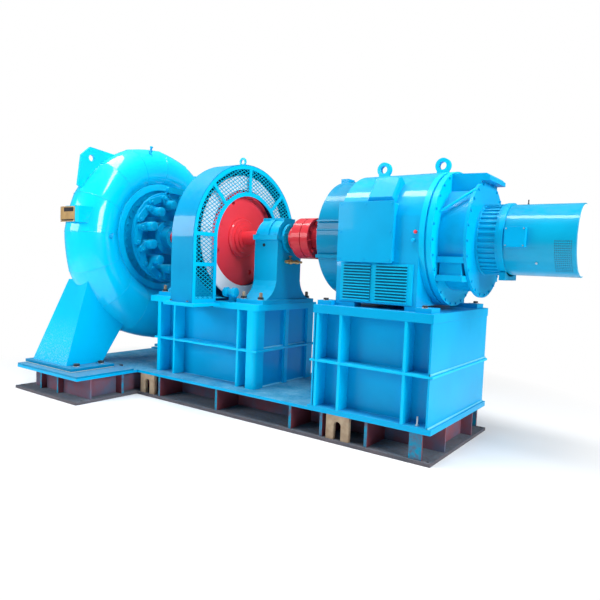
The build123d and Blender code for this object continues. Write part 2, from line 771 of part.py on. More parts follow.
with BuildPart() as front_leg:
    loft(sections=[*leg_loft(LEG_FOOT, LEG_HEAD)], ruled=True)
    add(case.part, mode=Mode.SUBTRACT)
    disc(CASE_X - 500, CASE_X + 500, STAY_R + LEG_CLEAR, mode=Mode.SUBTRACT)
with BuildPart() as back_leg:
    loft(sections=[*leg_loft(BACK_FOOT, BACK_HEAD)], ruled=True)
    block(-3000, 0, 0, 2000, INLET_Z, 2000, mode=Mode.SUBTRACT)
    add(case.part, mode=Mode.SUBTRACT)
    with BuildSketch(inlet_plane(-200)) as pipe:
        Circle(INLET_R)
    extrude(pipe.sketch, amount=INLET_L + 600, mode=Mode.SUBTRACT)
with BuildPart() as legs:
    add(front_leg.part.solids().sort_by(SortBy.VOLUME)[-1])
    add(back_leg.part.solids().sort_by(SortBy.VOLUME)[-1])
save(legs.part, "turbine_legs")

# Rotor: shaft, flywheel with drilled web, coupling halves with pins
with BuildPart() as shaft:
    disc(CASE_X, SHAFT_END_X, SHAFT_R)
save(shaft.part, "main_shaft")

with BuildPart() as rim:
    disc(-FLY_W / 2, FLY_W / 2, FLY_R)
    chamfer(rim.edges().filter_by(GeomType.CIRCLE), length=8)
    disc(-FLY_W / 2, FLY_W / 2, FLY_R - FLY_RIM, mode=Mode.SUBTRACT)
save(rim.part, "flywheel_rim")

with BuildPart() as flywheel:
    disc(-FLY_WEB / 2, FLY_WEB / 2, FLY_R - FLY_RIM)
    disc(-FLY_HUB_W / 2, FLY_HUB_W / 2, FLY_HUB_R)
    disc(-FLY_NOSE_W / 2, FLY_NOSE_W / 2, FLY_NOSE_R)
    disc(-FLY_TIP_W / 2, FLY_TIP_W / 2, FLY_TIP_R)
    edges = flywheel.edges().filter_by(GeomType.CIRCLE)
    hub_edges = [e for e in edges if abs(e.radius - FLY_HUB_R) < 1]
    hub_edges = [e for e in hub_edges if abs(e.center().X) > FLY_WEB / 2 + 1]
    chamfer(hub_edges, length=14)
    with BuildSketch(shaft_plane(-FLY_WEB / 2)):
        with PolarLocations(FLY_HOLES_AT, FLY_HOLES, start_angle=FLY_HOLE_START):
            Circle(FLY_HOLE_R)
    extrude(amount=FLY_WEB, mode=Mode.SUBTRACT)
    disc(-FLY_W, FLY_W, SHAFT_R, mode=Mode.SUBTRACT)
save(flywheel.part, "flywheel_web")

with BuildPart() as coupling_near:
    disc(COUPLING_X0, COUPLING_X0 + 30, COUPLING_HUB_R)
    with BuildSketch(shaft_plane(COUPLING_X0 + 30)):
        Circle(COUPLING_HUB_R)
    with BuildSketch(shaft_plane(COUPLING_X0 + 90)):
        Circle(COUPLING_R)
    loft()
    disc(COUPLING_X0 + 90, COUPLING_SPLIT - COUPLING_GAP / 2, COUPLING_R)
    disc(COUPLING_X0, COUPLING_SPLIT, SHAFT_R, mode=Mode.SUBTRACT)
save(coupling_near.part, "coupling_turbine_half")

with BuildPart() as coupling_far:
    disc(COUPLING_SPLIT + COUPLING_GAP / 2, COUPLING_X1, COUPLING_R)
    disc(COUPLING_X1 - 22, COUPLING_X1, COUPLING_R - 16, mode=Mode.SUBTRACT)
    disc(COUPLING_X1 - 22, COUPLING_X1 + 50, COUPLING_HUB_R - 8)
    disc(COUPLING_SPLIT, COUPLING_X1 + 50, SHAFT_R, mode=Mode.SUBTRACT)
save(coupling_far.part, "coupling_generator_half")

# Bearing pedestals: cast body on a flared foot, cap, round covers
FOOT_STEPS = ((0.0, 300.0), (22.0, 226.0), (52.0, 150.0), (92.0, 82.0), (136.0, 32.0), (190.0, 0.0))
with BuildPart() as pedestals:
    foot_z = FPLATE_TOP + PED_FOOT_T
    for ped_x in (PED_X, PED_X_TURBINE):
        block(ped_x - PED_FOOT_X, ped_x + PED_FOOT_X, -PED_FOOT_Y, PED_FOOT_Y, FPLATE_TOP, foot_z)
        for rise, widen in FOOT_STEPS:
            with BuildSketch(Plane.XY.offset(foot_z + rise)):
                with Locations((ped_x, 0)):
                    Rectangle(2 * PED_HALF_X, 2 * PED_HALF_Y + widen)
        loft(ruled=True)
        block(
            ped_x - PED_HALF_X, ped_x + PED_HALF_X, -PED_HALF_Y, PED_HALF_Y,
            foot_z + FOOT_STEPS[-1][0], SHAFT_Z - CAP_FLANGE_T,
        )
        block(
            ped_x - PED_HALF_X - 8, ped_x + PED_HALF_X + 8, -PED_HALF_Y - CAP_FLANGE_OUT,
            PED_HALF_Y + CAP_FLANGE_OUT, SHAFT_Z - CAP_FLANGE_T, SHAFT_Z,
        )
    disc(PED_X_TURBINE - 300, PED_X + 300, SHAFT_R + RUN_FIT, mode=Mode.SUBTRACT)
save(pedestals.part, "bearing_pedestals")

CAP_RIB_HALF = 26.0
CAP_TOP_HALF = 92.0
with BuildPart() as caps:
    for ped_x in (PED_X, PED_X_TURBINE):
        block(
            ped_x - PED_HALF_X - 8, ped_x + PED_HALF_X + 8, -PED_HALF_Y - CAP_FLANGE_OUT,
            PED_HALF_Y + CAP_FLANGE_OUT, SHAFT_Z, SHAFT_Z + CAP_FLANGE_T,
        )
        disc(ped_x - PED_HALF_X + 12, ped_x + PED_HALF_X - 12, CAP_R)
        disc(ped_x - CAP_RIB_HALF, ped_x + CAP_RIB_HALF, CAP_R + CAP_RIB)
        block(
            ped_x - PED_HALF_X + 12, ped_x + PED_HALF_X - 12, -CAP_TOP_HALF, CAP_TOP_HALF,
            SHAFT_Z, SHAFT_Z + CAP_TOP,
        )
    block(-2000, 2000, -400, 400, SHAFT_Z - 400, SHAFT_Z, mode=Mode.SUBTRACT)
    disc(PED_X_TURBINE - 300, PED_X + 300, SHAFT_R + RUN_FIT, mode=Mode.SUBTRACT)
save(caps.part, "bearing_caps")

with BuildPart() as bearing_covers:
    for ped_x in (PED_X, PED_X_TURBINE):
        for start in (ped_x + PED_HALF_X + 8, ped_x - PED_HALF_X - 8 - BEARING_COVER_T):
            disc(start, start + BEARING_COVER_T, BEARING_COVER_R)
    disc(PED_X_TURBINE - 400, PED_X + 400, SHAFT_R + RUN_FIT, mode=Mode.SUBTRACT)
save(bearing_covers.part, "bearing_end_covers")

# Brake jack and its bracket beside the flywheel
BRAKE_X = 300.0
BRAKE_Y = -392.0
with BuildPart() as brake:
    block(BRAKE_X - 60, BRAKE_X + 60, BRAKE_Y - 50, BRAKE_Y + 50, FPLATE_TOP, FPLATE_TOP + 14)
    with Locations((BRAKE_X, BRAKE_Y, FPLATE_TOP + 14 + 42)):
        Cylinder(42, 84)
save(brake.part, "brake_jack")


# Flywheel guard: rolled sheet arch with a framed mesh front and back
def arch_outline(radius):
    """Half disc of the given radius over straight legs down to the guard's foot."""
    leg = GUARD_Z - GUARD_FOOT_Z
    rise = GUARD_Z - SHAFT_Z
    with Locations((0, rise)):
        Circle(radius)
    with Locations((0, rise - leg / 2)):
        Rectangle(2 * radius, leg)
    with Locations((0, rise - leg - radius)):
        Rectangle(4 * radius, 2 * radius, mode=Mode.SUBTRACT)


def arch_sketch(outer, inner):
    """Inverted-U band between two radii."""
    with BuildSketch(mode=Mode.PRIVATE) as hole:
        arch_outline(inner)
    with BuildSketch(mode=Mode.PRIVATE) as band:
        arch_outline(outer)
        add(hole.sketch, mode=Mode.SUBTRACT)
    return band.sketch


def guard_bars():
    """Spokes of the guard's face, as a sketch in the shaft plane."""
    rise = GUARD_Z - SHAFT_Z
    length = GUARD_R - GUARD_RING - GUARD_IN_R + 20
    mid = (GUARD_R - GUARD_RING + GUARD_IN_R) / 2
    with BuildSketch(mode=Mode.PRIVATE) as bars:
        for angle in (45, 90, 135):
            y, z = polar(mid, angle)
            with Locations((y, z + rise)):
                Rectangle(length, GUARD_BAR, rotation=angle)
        for side in (-1, 1):
            for bar_z in (*GUARD_BAR_Z, GUARD_FOOT_Z + GUARD_BAR / 2):
                with Locations((side * mid, bar_z - SHAFT_Z)):
                    Rectangle(length, GUARD_BAR)
    return bars.sketch


FACE_X = GUARD_HALF - GUARD_FRAME_T
with BuildPart() as guard_frames:
    for x0 in (FACE_X, -GUARD_HALF):
        with BuildSketch(shaft_plane(x0)):
            add(arch_sketch(GUARD_R - GUARD_T, GUARD_R - GUARD_RING))
            add(arch_sketch(GUARD_IN_R, GUARD_IN_R - GUARD_IN_RING))
            add(guard_bars())
        extrude(amount=GUARD_FRAME_T)
    add(fbox_top.part, mode=Mode.SUBTRACT)
save(guard_frames.part, "guard_frames")

with BuildPart() as guard_mesh:
    for x0 in (FACE_X, -GUARD_HALF):
        with BuildSketch(shaft_plane(x0 + (GUARD_FRAME_T - MESH_T) / 2)):
            add(arch_sketch(GUARD_R - GUARD_RING, GUARD_IN_R))
            add(guard_bars(), mode=Mode.SUBTRACT)
        extrude(amount=MESH_T)
save(guard_mesh.part, "guard_mesh_panels")

with BuildPart() as guard_shell:
    with BuildSketch(shaft_plane(-GUARD_HALF)):
        add(arch_sketch(GUARD_R, GUARD_R - GUARD_T))
    extrude(amount=2 * GUARD_HALF)
save(guard_shell.part, "guard_shell")

EYES = (
    (28.0, GUARD_Z + GUARD_R, EYE_R, EYE_HOLE_R, 14.0),
    (1768.0, SHAFT_Z + STATOR_R, 66.0, 34.0, 44.0),
    (2330.0, SHAFT_Z + STATOR_R, 66.0, 34.0, 44.0),
)
with BuildPart() as eyes:
    for eye_x, eye_z, eye_r, hole_r, eye_t in EYES:
        with BuildSketch(front_plane(eye_t / 2)):
            with Locations((eye_x, eye_z + eye_r)):
                Circle(eye_r)
            with Locations((eye_x, eye_z + eye_r / 2 - 10)):
                Rectangle(1.5 * eye_r, eye_r + 20)
            with Locations((eye_x, eye_z + eye_r)):
                Circle(hole_r, mode=Mode.SUBTRACT)
        extrude(amount=eye_t)
    with BuildSketch(shaft_plane(-GUARD_HALF)):
        arch_outline(GUARD_R)
    extrude(amount=2 * GUARD_HALF, mode=Mode.SUBTRACT)
    disc(STATOR_X0, RING_X0, STATOR_R, mode=Mode.SUBTRACT)
save(eyes.part, "lifting_eyes")

# Generator: hood, stator frame with rolled top, flange ring, rear cover
BORE_X1 = SHAFT_END_X + 6
with BuildPart() as hood:
    disc(HOOD_X0, STATOR_X0, HOOD_R)
    chamfer(hood.faces().sort_by(Axis.X)[0].edges(), length=22)
    disc(HOOD_X0, HOOD_X0 + 34, HOOD_R - 170, mode=Mode.SUBTRACT)
    for ridge_z, ridge_t in HOOD_RIDGES:
        for side in (-1, 1):
            block(
                HOOD_X0 + 30, STATOR_X0, side * HOOD_R * 0.8, side * (HOOD_R + RIDGE_OUT),
                ridge_z, ridge_z + ridge_t,
            )
    disc(HOOD_X0, STATOR_X0, SHAFT_R + RUN_FIT, mode=Mode.SUBTRACT)
save(hood.part, "drive_end_hood")

with BuildPart() as stator:
    low = STATOR_BASE - SHAFT_Z
    with BuildSketch(shaft_plane(STATOR_X0)):
        Circle(STATOR_R)
        with Locations((0, (STATOR_R + low) / 2)):
            Rectangle(2 * STATOR_SIDE, STATOR_R - low, mode=Mode.INTERSECT)
        with Locations((0, low / 2)):
            Rectangle(2 * STATOR_SIDE, -low)
    extrude(amount=RING_X0 - STATOR_X0)
    disc(STATOR_X0, BORE_X1, SHAFT_R + RUN_FIT, mode=Mode.SUBTRACT)
save(stator.part, "stator_frame")

with BuildPart() as flange_ring:
    disc(RING_X0, RING_X0 + 44, STATOR_R)
    disc(RING_X0 + 44, RING_X1 - 44, STATOR_R - 18)
    disc(RING_X1 - 44, RING_X1, STATOR_R)
    block(RING_X0, RING_X1, -STATOR_SIDE, STATOR_SIDE, 0, STATOR_BASE, mode=Mode.SUBTRACT)
save(flange_ring.part, "rear_flange_ring")

with BuildPart() as rear_cover:
    disc(RING_X1, REAR_X1, REAR_R)
    for side in (-1, 1):
        for mid_z in (SHAFT_Z - 180, SHAFT_Z - 324):
            block(RING_X1, REAR_X1, side * 300, side * (REAR_R + 21), mid_z - 24, mid_z + 24)
        block(RING_X1 + 20, REAR_X1 - 20, side * 300, side * REAR_R * 0.98, SHAFT_Z - 324, SHAFT_Z - 180)
    disc(REAR_X1, REAR_X1 + REAR_PLATE_T, REAR_PLATE_R)
save(rear_cover.part, "rear_end_cover")

# Low air outlet box on top of the rear cover
DUCT_HALF = 205.0
DUCT_TOP = 2292.0
DUCT_X1 = REAR_X1 + 92.0
with BuildPart() as duct:
    with BuildSketch(front_plane(DUCT_HALF)):
        with BuildLine():
            Polyline(
                (RING_X1, 2100), (RING_X1, DUCT_TOP), (DUCT_X1 - 30, DUCT_TOP - 8),
                (DUCT_X1, DUCT_TOP - 34), (DUCT_X1, 2226), (REAR_X1 + REAR_PLATE_T, 2226),
                (REAR_X1 + REAR_PLATE_T, 2100), close=True,
            )
        make_face()
    extrude(amount=2 * DUCT_HALF)
    disc(RING_X1, REAR_X1, REAR_R, mode=Mode.SUBTRACT)
    disc(REAR_X1, REAR_X1 + REAR_PLATE_T, REAR_PLATE_R, mode=Mode.SUBTRACT)
save(duct.part, "air_outlet_box")

# Feet: a wide block out to the bolts, a rail behind the louvre panel
FOOT_BOLT_SPAN = ((STATOR_X0, STATOR_X0 + 140.0), (2415.0, 2550.0))
FOOT_RAIL_SPAN = ((STATOR_X0 + 140.0, 1832.0), (2294.0, 2415.0))
with BuildPart() as feet:
    for side in (-1, 1):
        for x0, x1 in FOOT_BOLT_SPAN:
            block(x0, x1, side * 440, side * (STATOR_SIDE + 70), GPLATE_TOP, STATOR_BASE)
        for x0, x1 in FOOT_RAIL_SPAN:
            block(x0, x1, side * 440, side * (STATOR_SIDE + 8), GPLATE_TOP, STATOR_BASE)
save(feet.part, "generator_feet")

with BuildPart() as terminal_box:
    face_y = -STATOR_SIDE - TERM_OUT
    block(
        TERM_X0 + LID_LIP, TERM_X1 - LID_LIP, face_y + LID_T, 100 - STATOR_SIDE,
        TERM_Z0 + LID_LIP, TERM_Z1 - LID_LIP,
    )
    block(TERM_X0, TERM_X1, face_y, face_y + LID_T, TERM_Z0, TERM_Z1)
    fillet(terminal_box.edges().filter_by(Axis.Y), radius=10)
    add(stator.part, mode=Mode.SUBTRACT)
save(terminal_box.part, "terminal_box")

with BuildPart() as louvre_panel:
    panel_z = STATOR_BASE + 6
    block(PANEL_X0, PANEL_X1, -STATOR_SIDE - PANEL_T, -STATOR_SIDE, panel_z, PANEL_Z1)
    for x0, x1 in LOUVRE_COLUMNS:
        for k in range(LOUVRES):
            z = panel_z + 14 + LOUVRE_PITCH * k
            block(
                x0, x1, -STATOR_SIDE - PANEL_T - LOUVRE_D, -STATOR_SIDE - PANEL_T,
                z, z + LOUVRE_H,
            )
save(louvre_panel.part, "louvre_panel")

# Junction box leaning on the rolled shoulder above the terminal box
LEAN = math.radians(56.3)
LEAN_R = STATOR_R + 69.0
LEAN_AT = 141.4
JUNCTION_W = 238.0
JUNCTION_H = 234.0
JUNCTION_D = 150.0
with BuildPart() as junction:
    lean_y, lean_z = polar(LEAN_R, LEAN_AT)
    tilt = Plane(
        origin=((TERM_X0 + TERM_X1) / 2 + 98, lean_y, SHAFT_Z + lean_z), x_dir=(1, 0, 0),
        z_dir=(0, -math.sin(LEAN), math.cos(LEAN)),
    )
    with BuildSketch(tilt.offset(-JUNCTION_D)):
        Rectangle(JUNCTION_W, JUNCTION_H)
    extrude(amount=JUNCTION_D)
    chamfer(junction.faces().sort_by(Axis(tilt.origin, tilt.z_dir))[-1].edges(), length=16)
    disc(STATOR_X0, RING_X0, STATOR_R, mode=Mode.SUBTRACT)
    add(terminal_box.part, mode=Mode.SUBTRACT)
save(junction.part, "junction_box")

# Exciter: finned ring, strap, cover and pale end cap
RING2_X0 = REAR_X1 + REAR_PLATE_T
with BuildPart() as exciter_ring:
    disc(RING2_X0, EXC_X0, EXC_RING_R - 14)
    disc(RING2_X0, RING2_X0 + 20, EXC_RING_R)
    disc(EXC_X0 - 20, EXC_X0, EXC_RING_R)
    disc(EXC_X0, EXC_X0 + EXC_STRAP, EXC_RING_R + 4)
save(exciter_ring.part, "exciter_stator_ring")

with BuildPart() as exciter_cover:
    disc(EXC_X0 + EXC_STRAP, EXC_X1, EXC_R)
save(exciter_cover.part, "exciter_cover")

with BuildPart() as exciter_cap:
    disc(EXC_X1, EXC_X1 + EXC_CAP_T, EXC_R - 10)
    fillet(exciter_cap.faces().sort_by(Axis.X)[-1].edges(), radius=4)
save(exciter_cap.part, "exciter_end_cap")

EXC_BOX_X = EXC_X0 + EXC_STRAP + 19.0
with BuildPart() as exciter_box:
    block(EXC_BOX_X, EXC_BOX_X + 154, -EXC_R - 40, -EXC_R + 60, SHAFT_Z - 70, SHAFT_Z + 82)
    fillet(exciter_box.edges().filter_by(Axis.Y), radius=12)
    disc(EXC_X0 + EXC_STRAP, EXC_X1, EXC_R, mode=Mode.SUBTRACT)
save(exciter_box.part, "exciter_terminal_box")
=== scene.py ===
import math

import bpy
import numpy as np
from mathutils import Matrix, Vector


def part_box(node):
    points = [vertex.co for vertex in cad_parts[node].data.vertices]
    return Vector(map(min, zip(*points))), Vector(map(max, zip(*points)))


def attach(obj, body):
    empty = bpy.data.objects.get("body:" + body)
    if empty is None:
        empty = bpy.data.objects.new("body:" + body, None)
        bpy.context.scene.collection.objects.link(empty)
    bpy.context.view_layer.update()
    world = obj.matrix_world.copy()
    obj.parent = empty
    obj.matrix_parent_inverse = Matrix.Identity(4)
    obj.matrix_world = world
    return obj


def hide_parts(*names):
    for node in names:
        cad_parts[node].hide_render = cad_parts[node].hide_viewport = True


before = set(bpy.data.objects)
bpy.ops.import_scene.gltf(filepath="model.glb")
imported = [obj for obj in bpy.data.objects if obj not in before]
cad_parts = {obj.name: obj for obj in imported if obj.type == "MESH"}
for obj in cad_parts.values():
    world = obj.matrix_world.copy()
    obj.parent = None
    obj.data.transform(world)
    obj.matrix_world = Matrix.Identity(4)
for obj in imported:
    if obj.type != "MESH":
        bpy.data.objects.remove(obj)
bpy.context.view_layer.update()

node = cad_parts

# Camera: an eye at standing height off the generator end, turned to the turbine, with
# the slight lean of a hand-held view. Lengths in metres, angles in degrees.
EYE = Vector((4.231, -4.658, 1.502))
YAW, PITCH, LEAN = (math.radians(a) for a in (35.07, 4.03, 2.31))
forward = Vector(
    (-math.sin(YAW) * math.cos(PITCH), math.cos(YAW) * math.cos(PITCH), -math.sin(PITCH))
)
level = Vector((math.cos(YAW), math.sin(YAW), 0.0))
upright = level.cross(forward)
right = level * math.cos(LEAN) + upright * math.sin(LEAN)
upper = upright * math.cos(LEAN) - level * math.sin(LEAN)
lens = bpy.data.cameras.new("view")
lens.lens = 33.744
lens.sensor_width = 36.0
lens.shift_x = -0.0122
lens.shift_y = 0.0083
lens.clip_end = 200.0
camera = bpy.data.objects.new("view", lens)
turn = Matrix((right, upper, -forward)).transposed().to_4x4()
camera.matrix_world = Matrix.Translation(EYE) @ turn
bpy.context.scene.collection.objects.link(camera)
bpy.context.scene.camera = camera
bpy.context.scene.view_settings.view_transform = "Standard"


# Studio light: one broad soft panel from the exciter end, a weaker one from the front
# and a strip overhead that draws the long highlights on the enamel.
def soft_panel(name, place, aim, width, height, watts):
    """A rectangular area lamp at a place, turned to face the aim point."""
    lamp = bpy.data.lights.new(name, "AREA")
    lamp.shape = "RECTANGLE"
    lamp.size, lamp.size_y, lamp.energy = width, height, watts
    panel = bpy.data.objects.new(name, lamp)
    look = (Vector(aim) - Vector(place)).to_track_quat("-Z", "Y")
    panel.matrix_world = Matrix.Translation(place) @ look.to_matrix().to_4x4()
    bpy.context.scene.collection.objects.link(panel)


soft_panel("end_panel", (9.6, -1.1, 4.4), (0.8, 0.0, 1.2), 3.6, 3.0, 640.0)
soft_panel("front_panel", (-3.4, -5.4, 3.4), (-1.0, 0.0, 1.2), 4.0, 2.4, 270.0)
soft_panel("overhead_strip", (0.4, -1.0, 6.2), (0.6, 0.0, 1.0), 7.5, 0.9, 390.0)


# White room: plain white around the set for the camera, and a weak fill with a tint of
# sky, so that paint in the shade keeps its colour.
def feed(tree, socket, value):
    """Links an input to another node's socket, or sets its value."""
    if isinstance(value, bpy.types.NodeSocket):
        tree.links.new(value, socket)
    else:
        socket.default_value = value


def put(tree, kind, operation=None, **inputs):
    """One shader node with its inputs, named with _ for a space, set or linked."""
    made = tree.nodes.new(kind)
    if operation:
        made.operation = operation
    for name, value in inputs.items():
        feed(tree, made.inputs[name.replace("_", " ")], value)
    return made


def calc(tree, operation, *values):
    """The output of one Math node on sockets or numbers."""
    made = put(tree, "ShaderNodeMath", operation)
    for socket, value in zip(made.inputs, values):
        feed(tree, socket, value)
    return made.outputs[0]


def either(tree, factor, first, second):
    """A mix of two shaders, all the second where the factor is 1."""
    mix = put(tree, "ShaderNodeMixShader", Fac=factor)
    tree.links.new(first.outputs[0], mix.inputs[1])
    tree.links.new(second.outputs[0], mix.inputs[2])
    return mix.outputs[0]


WHITE = (1.0, 1.0, 1.0, 1.0)
SKY_TINT = (0.90, 0.96, 1.0, 1.0)
world = bpy.data.worlds.new("white_room")
bpy.context.scene.world = world
world.use_nodes = True
room = world.node_tree
room.nodes.clear()
ray = put(room, "ShaderNodeLightPath").outputs
seen = calc(room, "MAXIMUM", ray["Is Camera Ray"], ray["Is Transmission Ray"])
fill = put(room, "ShaderNodeBackground", Color=SKY_TINT, Strength=0.20)
backdrop = put(room, "ShaderNodeBackground", Color=WHITE, Strength=1.0)
put(room, "ShaderNodeOutputWorld", Surface=either(room, seen, fill, backdrop))


# Floor: a plain pale slab just under the sole plates, matt, and wide enough that its edge
# is never seen. Away from the set it fades to white for the camera.
def surface(name, parts, material, body="frame", crease=32.0):
    """Joins point grids into one mesh object at the origin.

    A part is (grid, ring, capped): grid holds points as (copies, rows, columns, 3);
    with ring the last column joins the first; capped closes the first and last row,
    and capped "loop" joins the last row to the first. The face at row r and column c has
    the corners (r, c), (r, c+1), (r+1, c+1), (r+1, c), so it points outwards when the
    columns run anticlockwise as the rows rise.
    """
    points, faces, start = [], [], 0
    for grid, ring, capped in parts:
        copies, rows, columns, _ = grid.shape
        number = np.arange(copies * rows * columns).reshape(copies, rows, columns) + start
        around = np.concatenate([number, number[:, :, :1]], 2) if ring else number
        around = np.concatenate([around, around[:, :1]], 1) if capped == "loop" else around
        quads = np.stack(
            [around[:, :-1, :-1], around[:, :-1, 1:], around[:, 1:, 1:], around[:, 1:, :-1]], -1
        )
        faces += quads.reshape(-1, 4).tolist()
        if capped is True:
            faces += number[:, 0, ::-1].tolist() + number[:, -1].tolist()
        points.append(grid.reshape(-1, 3))
        start += copies * rows * columns
    mesh = bpy.data.meshes.new(name)
    mesh.from_pydata(np.concatenate(points).tolist(), [], faces)
    mesh.shade_smooth()
    mesh.set_sharp_from_angle(angle=math.radians(crease))
    made = bpy.data.objects.new(name, mesh)
    bpy.context.scene.collection.objects.link(made)
    mesh.materials.append(material)
    if body:
        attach(made, body)
    return made


def new_material(name):
    """An empty material, its nodes and its Principled shader."""
    material = bpy.data.materials.new(name)
    material.use_nodes = True
    return material, material.node_tree, material.node_tree.nodes["Principled BSDF"]


def noise(tree, where, scale, detail, rough=0.5):
    """A noise from 0 to 1 with a given number of cells in a metre."""
    made = put(
        tree, "ShaderNodeTexNoise", Vector=where, Scale=scale, Detail=detail, Roughness=rough
    )
    return made.outputs["Fac"]


def rising(tree, value, low, high):
    """Goes from 0 to 1 as a value goes from low to high, and stays level beyond."""
    return put(tree, "ShaderNodeMapRange", Value=value, From_Min=low, From_Max=high).outputs[0]


def studio_floor():
    """A pale matt floor, a little uneven in tone, that fades to white for the camera."""
    material, inside, shader = new_material("pale_floor")
    pale = (0.93, 0.94, 0.95)
    place = put(inside, "ShaderNodeTexCoord").outputs["Object"]
    tone = put(inside, "ShaderNodeValToRGB", Fac=noise(inside, place, 0.6, 3.0))
    tone.color_ramp.elements[0].color = (*[c * 0.97 for c in pale], 1.0)
    tone.color_ramp.elements[1].color = (*pale, 1.0)
    inside.links.new(tone.outputs[0], shader.inputs["Base Color"])
    shader.inputs["Roughness"].default_value = 0.85
    middle = put(inside, "ShaderNodeMapping", Vector=place, Location=(-0.2, 0.0, 0.0))
    far = put(inside, "ShaderNodeVectorMath", "LENGTH", Vector=middle.outputs[0])
    fade = rising(inside, far.outputs["Value"], 2.4, 4.2)
    camera_ray = put(inside, "ShaderNodeLightPath").outputs["Is Camera Ray"]
    plain = put(inside, "ShaderNodeEmission", Color=WHITE, Strength=1.0)
    shown = either(inside, calc(inside, "MULTIPLY", fade, camera_ray), shader, plain)
    inside.links.new(shown, inside.nodes["Material Output"].inputs["Surface"])
    return material


FLOOR_Z = -0.002
reach = np.array([-30.0, 30.0])
slab = np.stack(np.broadcast_arrays(reach[None, None, :], reach[None, :, None], FLOOR_Z), -1)
surface("floor", [(slab, False, False)], studio_floor(), body=None)


# Paint: gloss enamel sprayed over plate and castings. One node group says where it is
# mottled, where dust settles on level faces and where edges have rubbed bare.
def age_group():
    """Masks of mottle, dust, bare edges and orange peel, and a normal that softens edges.

    Dust = level faces times a fine noise; bare = edges times a fine noise, where an edge
    is a place at which the true and the softened normal differ.
    """
    group = bpy.data.node_groups.new("paint_age", "ShaderNodeTree")
    for name, usual in (("Scale", 1.0), ("Edge", 0.004)):
        entry = group.interface.new_socket(name, in_out="INPUT", socket_type="NodeSocketFloat")
        entry.default_value = usual
    for name in ("Mottle", "Dust", "Bare", "Peel"):
        group.interface.new_socket(name, in_out="OUTPUT", socket_type="NodeSocketFloat")
    group.interface.new_socket("Normal", in_out="OUTPUT", socket_type="NodeSocketVector")
    given = group.nodes.new("NodeGroupInput").outputs
    out = group.nodes.new("NodeGroupOutput")
    place = put(group, "ShaderNodeTexCoord").outputs["Object"]
    sized = put(group, "ShaderNodeVectorMath", "SCALE", Vector=place, Scale=given["Scale"])
    where = sized.outputs[0]
    grit = noise(group, where, 21.0, 7.0, 0.7)
    face = put(group, "ShaderNodeNewGeometry").outputs["Normal"]
    height = put(group, "ShaderNodeSeparateXYZ", Vector=face).outputs["Z"]
    level_face = rising(group, height, 0.35, 0.95)
    soft = put(group, "ShaderNodeBevel", Radius=given["Edge"])
    soft.samples = 4
    alike = put(group, "ShaderNodeVectorMath", "DOT_PRODUCT", Vector=face)
    group.links.new(soft.outputs[0], alike.inputs[1])
    edge = rising(group, alike.outputs["Value"], 0.985, 0.90)
    for name, socket in (
        ("Mottle", noise(group, where, 2.6, 4.0, 0.55)),
        ("Dust", calc(group, "MULTIPLY", level_face, rising(group, grit, 0.36, 0.62))),
        ("Bare", calc(group, "MULTIPLY", edge, rising(group, grit, 0.47, 0.60))),
        ("Peel", noise(group, where, 170.0, 2.0)),
        ("Normal", soft.outputs[0]),
    ):
        group.links.new(socket, out.inputs[name])
    return group


def mixed(tree, factor, first, second):
    """The colour output of a mix of two colours, each a socket or a colour."""
    mix = tree.nodes.new("ShaderNodeMix")
    mix.data_type = "RGBA"
    feed(tree, mix.inputs[0], factor)
    for place, colour in ((6, first), (7, second)):
        is_socket = isinstance(colour, bpy.types.NodeSocket)
        feed(tree, mix.inputs[place], colour if is_socket else (*colour, 1.0))
    return mix.outputs[2]


PAINT_AGE = age_group()


def enamel(name, colour, deep, dust=0.10, bare=0.25, rough=0.3, coat=0.08, metal=0.0,
           dust_colour=(0.42, 0.47, 0.50), bare_colour=(0.10, 0.13, 0.15), peel=0.05,
           scale=1.0, edge=0.004):
    """Paint or bare metal: two tones mottled together, dust on level faces, bare edges."""
    material, inside, shader = new_material(name)
    group = inside.nodes.new("ShaderNodeGroup")
    group.node_tree = PAINT_AGE
    group.inputs["Scale"].default_value = scale
    group.inputs["Edge"].default_value = edge
    age = group.outputs
    body = mixed(inside, rising(inside, age["Mottle"], 0.32, 0.66), deep, colour)
    dusty = mixed(inside, calc(inside, "MULTIPLY", age["Dust"], dust), body, dust_colour)
    worn = mixed(inside, calc(inside, "MULTIPLY", age["Bare"], bare), dusty, bare_colour)
    dull = 0.5 if dust else 0.0
    bump = put(
        inside, "ShaderNodeBump", Height=age["Peel"], Strength=peel, Distance=0.002,
        Normal=age["Normal"],
    )
    for name, value in (
        ("Base Color", worn), ("Normal", bump.outputs[0]), ("Metallic", metal),
        ("Roughness", calc(inside, "MULTIPLY_ADD", age["Dust"], dull, rough)),
        ("Coat Weight", coat), ("Coat Roughness", 0.06),
        ("Specular IOR Level", 0.5 if metal else 0.08),
    ):
        feed(inside, shader.inputs[name], value)
    return material


CYAN, CYAN_DEEP = (0.0, 0.41, 0.76), (0.0, 0.37, 0.70)
cyan = enamel("cyan_enamel", CYAN, CYAN_DEEP)
cast_cyan = enamel(
    "cyan_enamel_on_castings", (0.0, 0.45, 0.76), (0.0, 0.39, 0.69), peel=0.14
)

# Foundation frame: runners welded from plate, in red-oxide primer with blue overspray
# on the stiffeners' edges, a dusty sole plate and a top that people step on.
primer = enamel(
    "oxide_primer_with_overspray", (0.24, 0.075, 0.095), (0.11, 0.13, 0.20), dust=0.35,
    bare=0.3, rough=0.55, coat=0.0, dust_colour=(0.23, 0.20, 0.19), peel=0.2, scale=1.4,
)
sole = enamel(
    "dusty_sole_plate", (0.13, 0.115, 0.13), (0.085, 0.09, 0.11), dust=0.6, bare=0.3,
    rough=0.65, coat=0.0, dust_colour=(0.15, 0.20, 0.24), peel=0.25, scale=1.7,
)


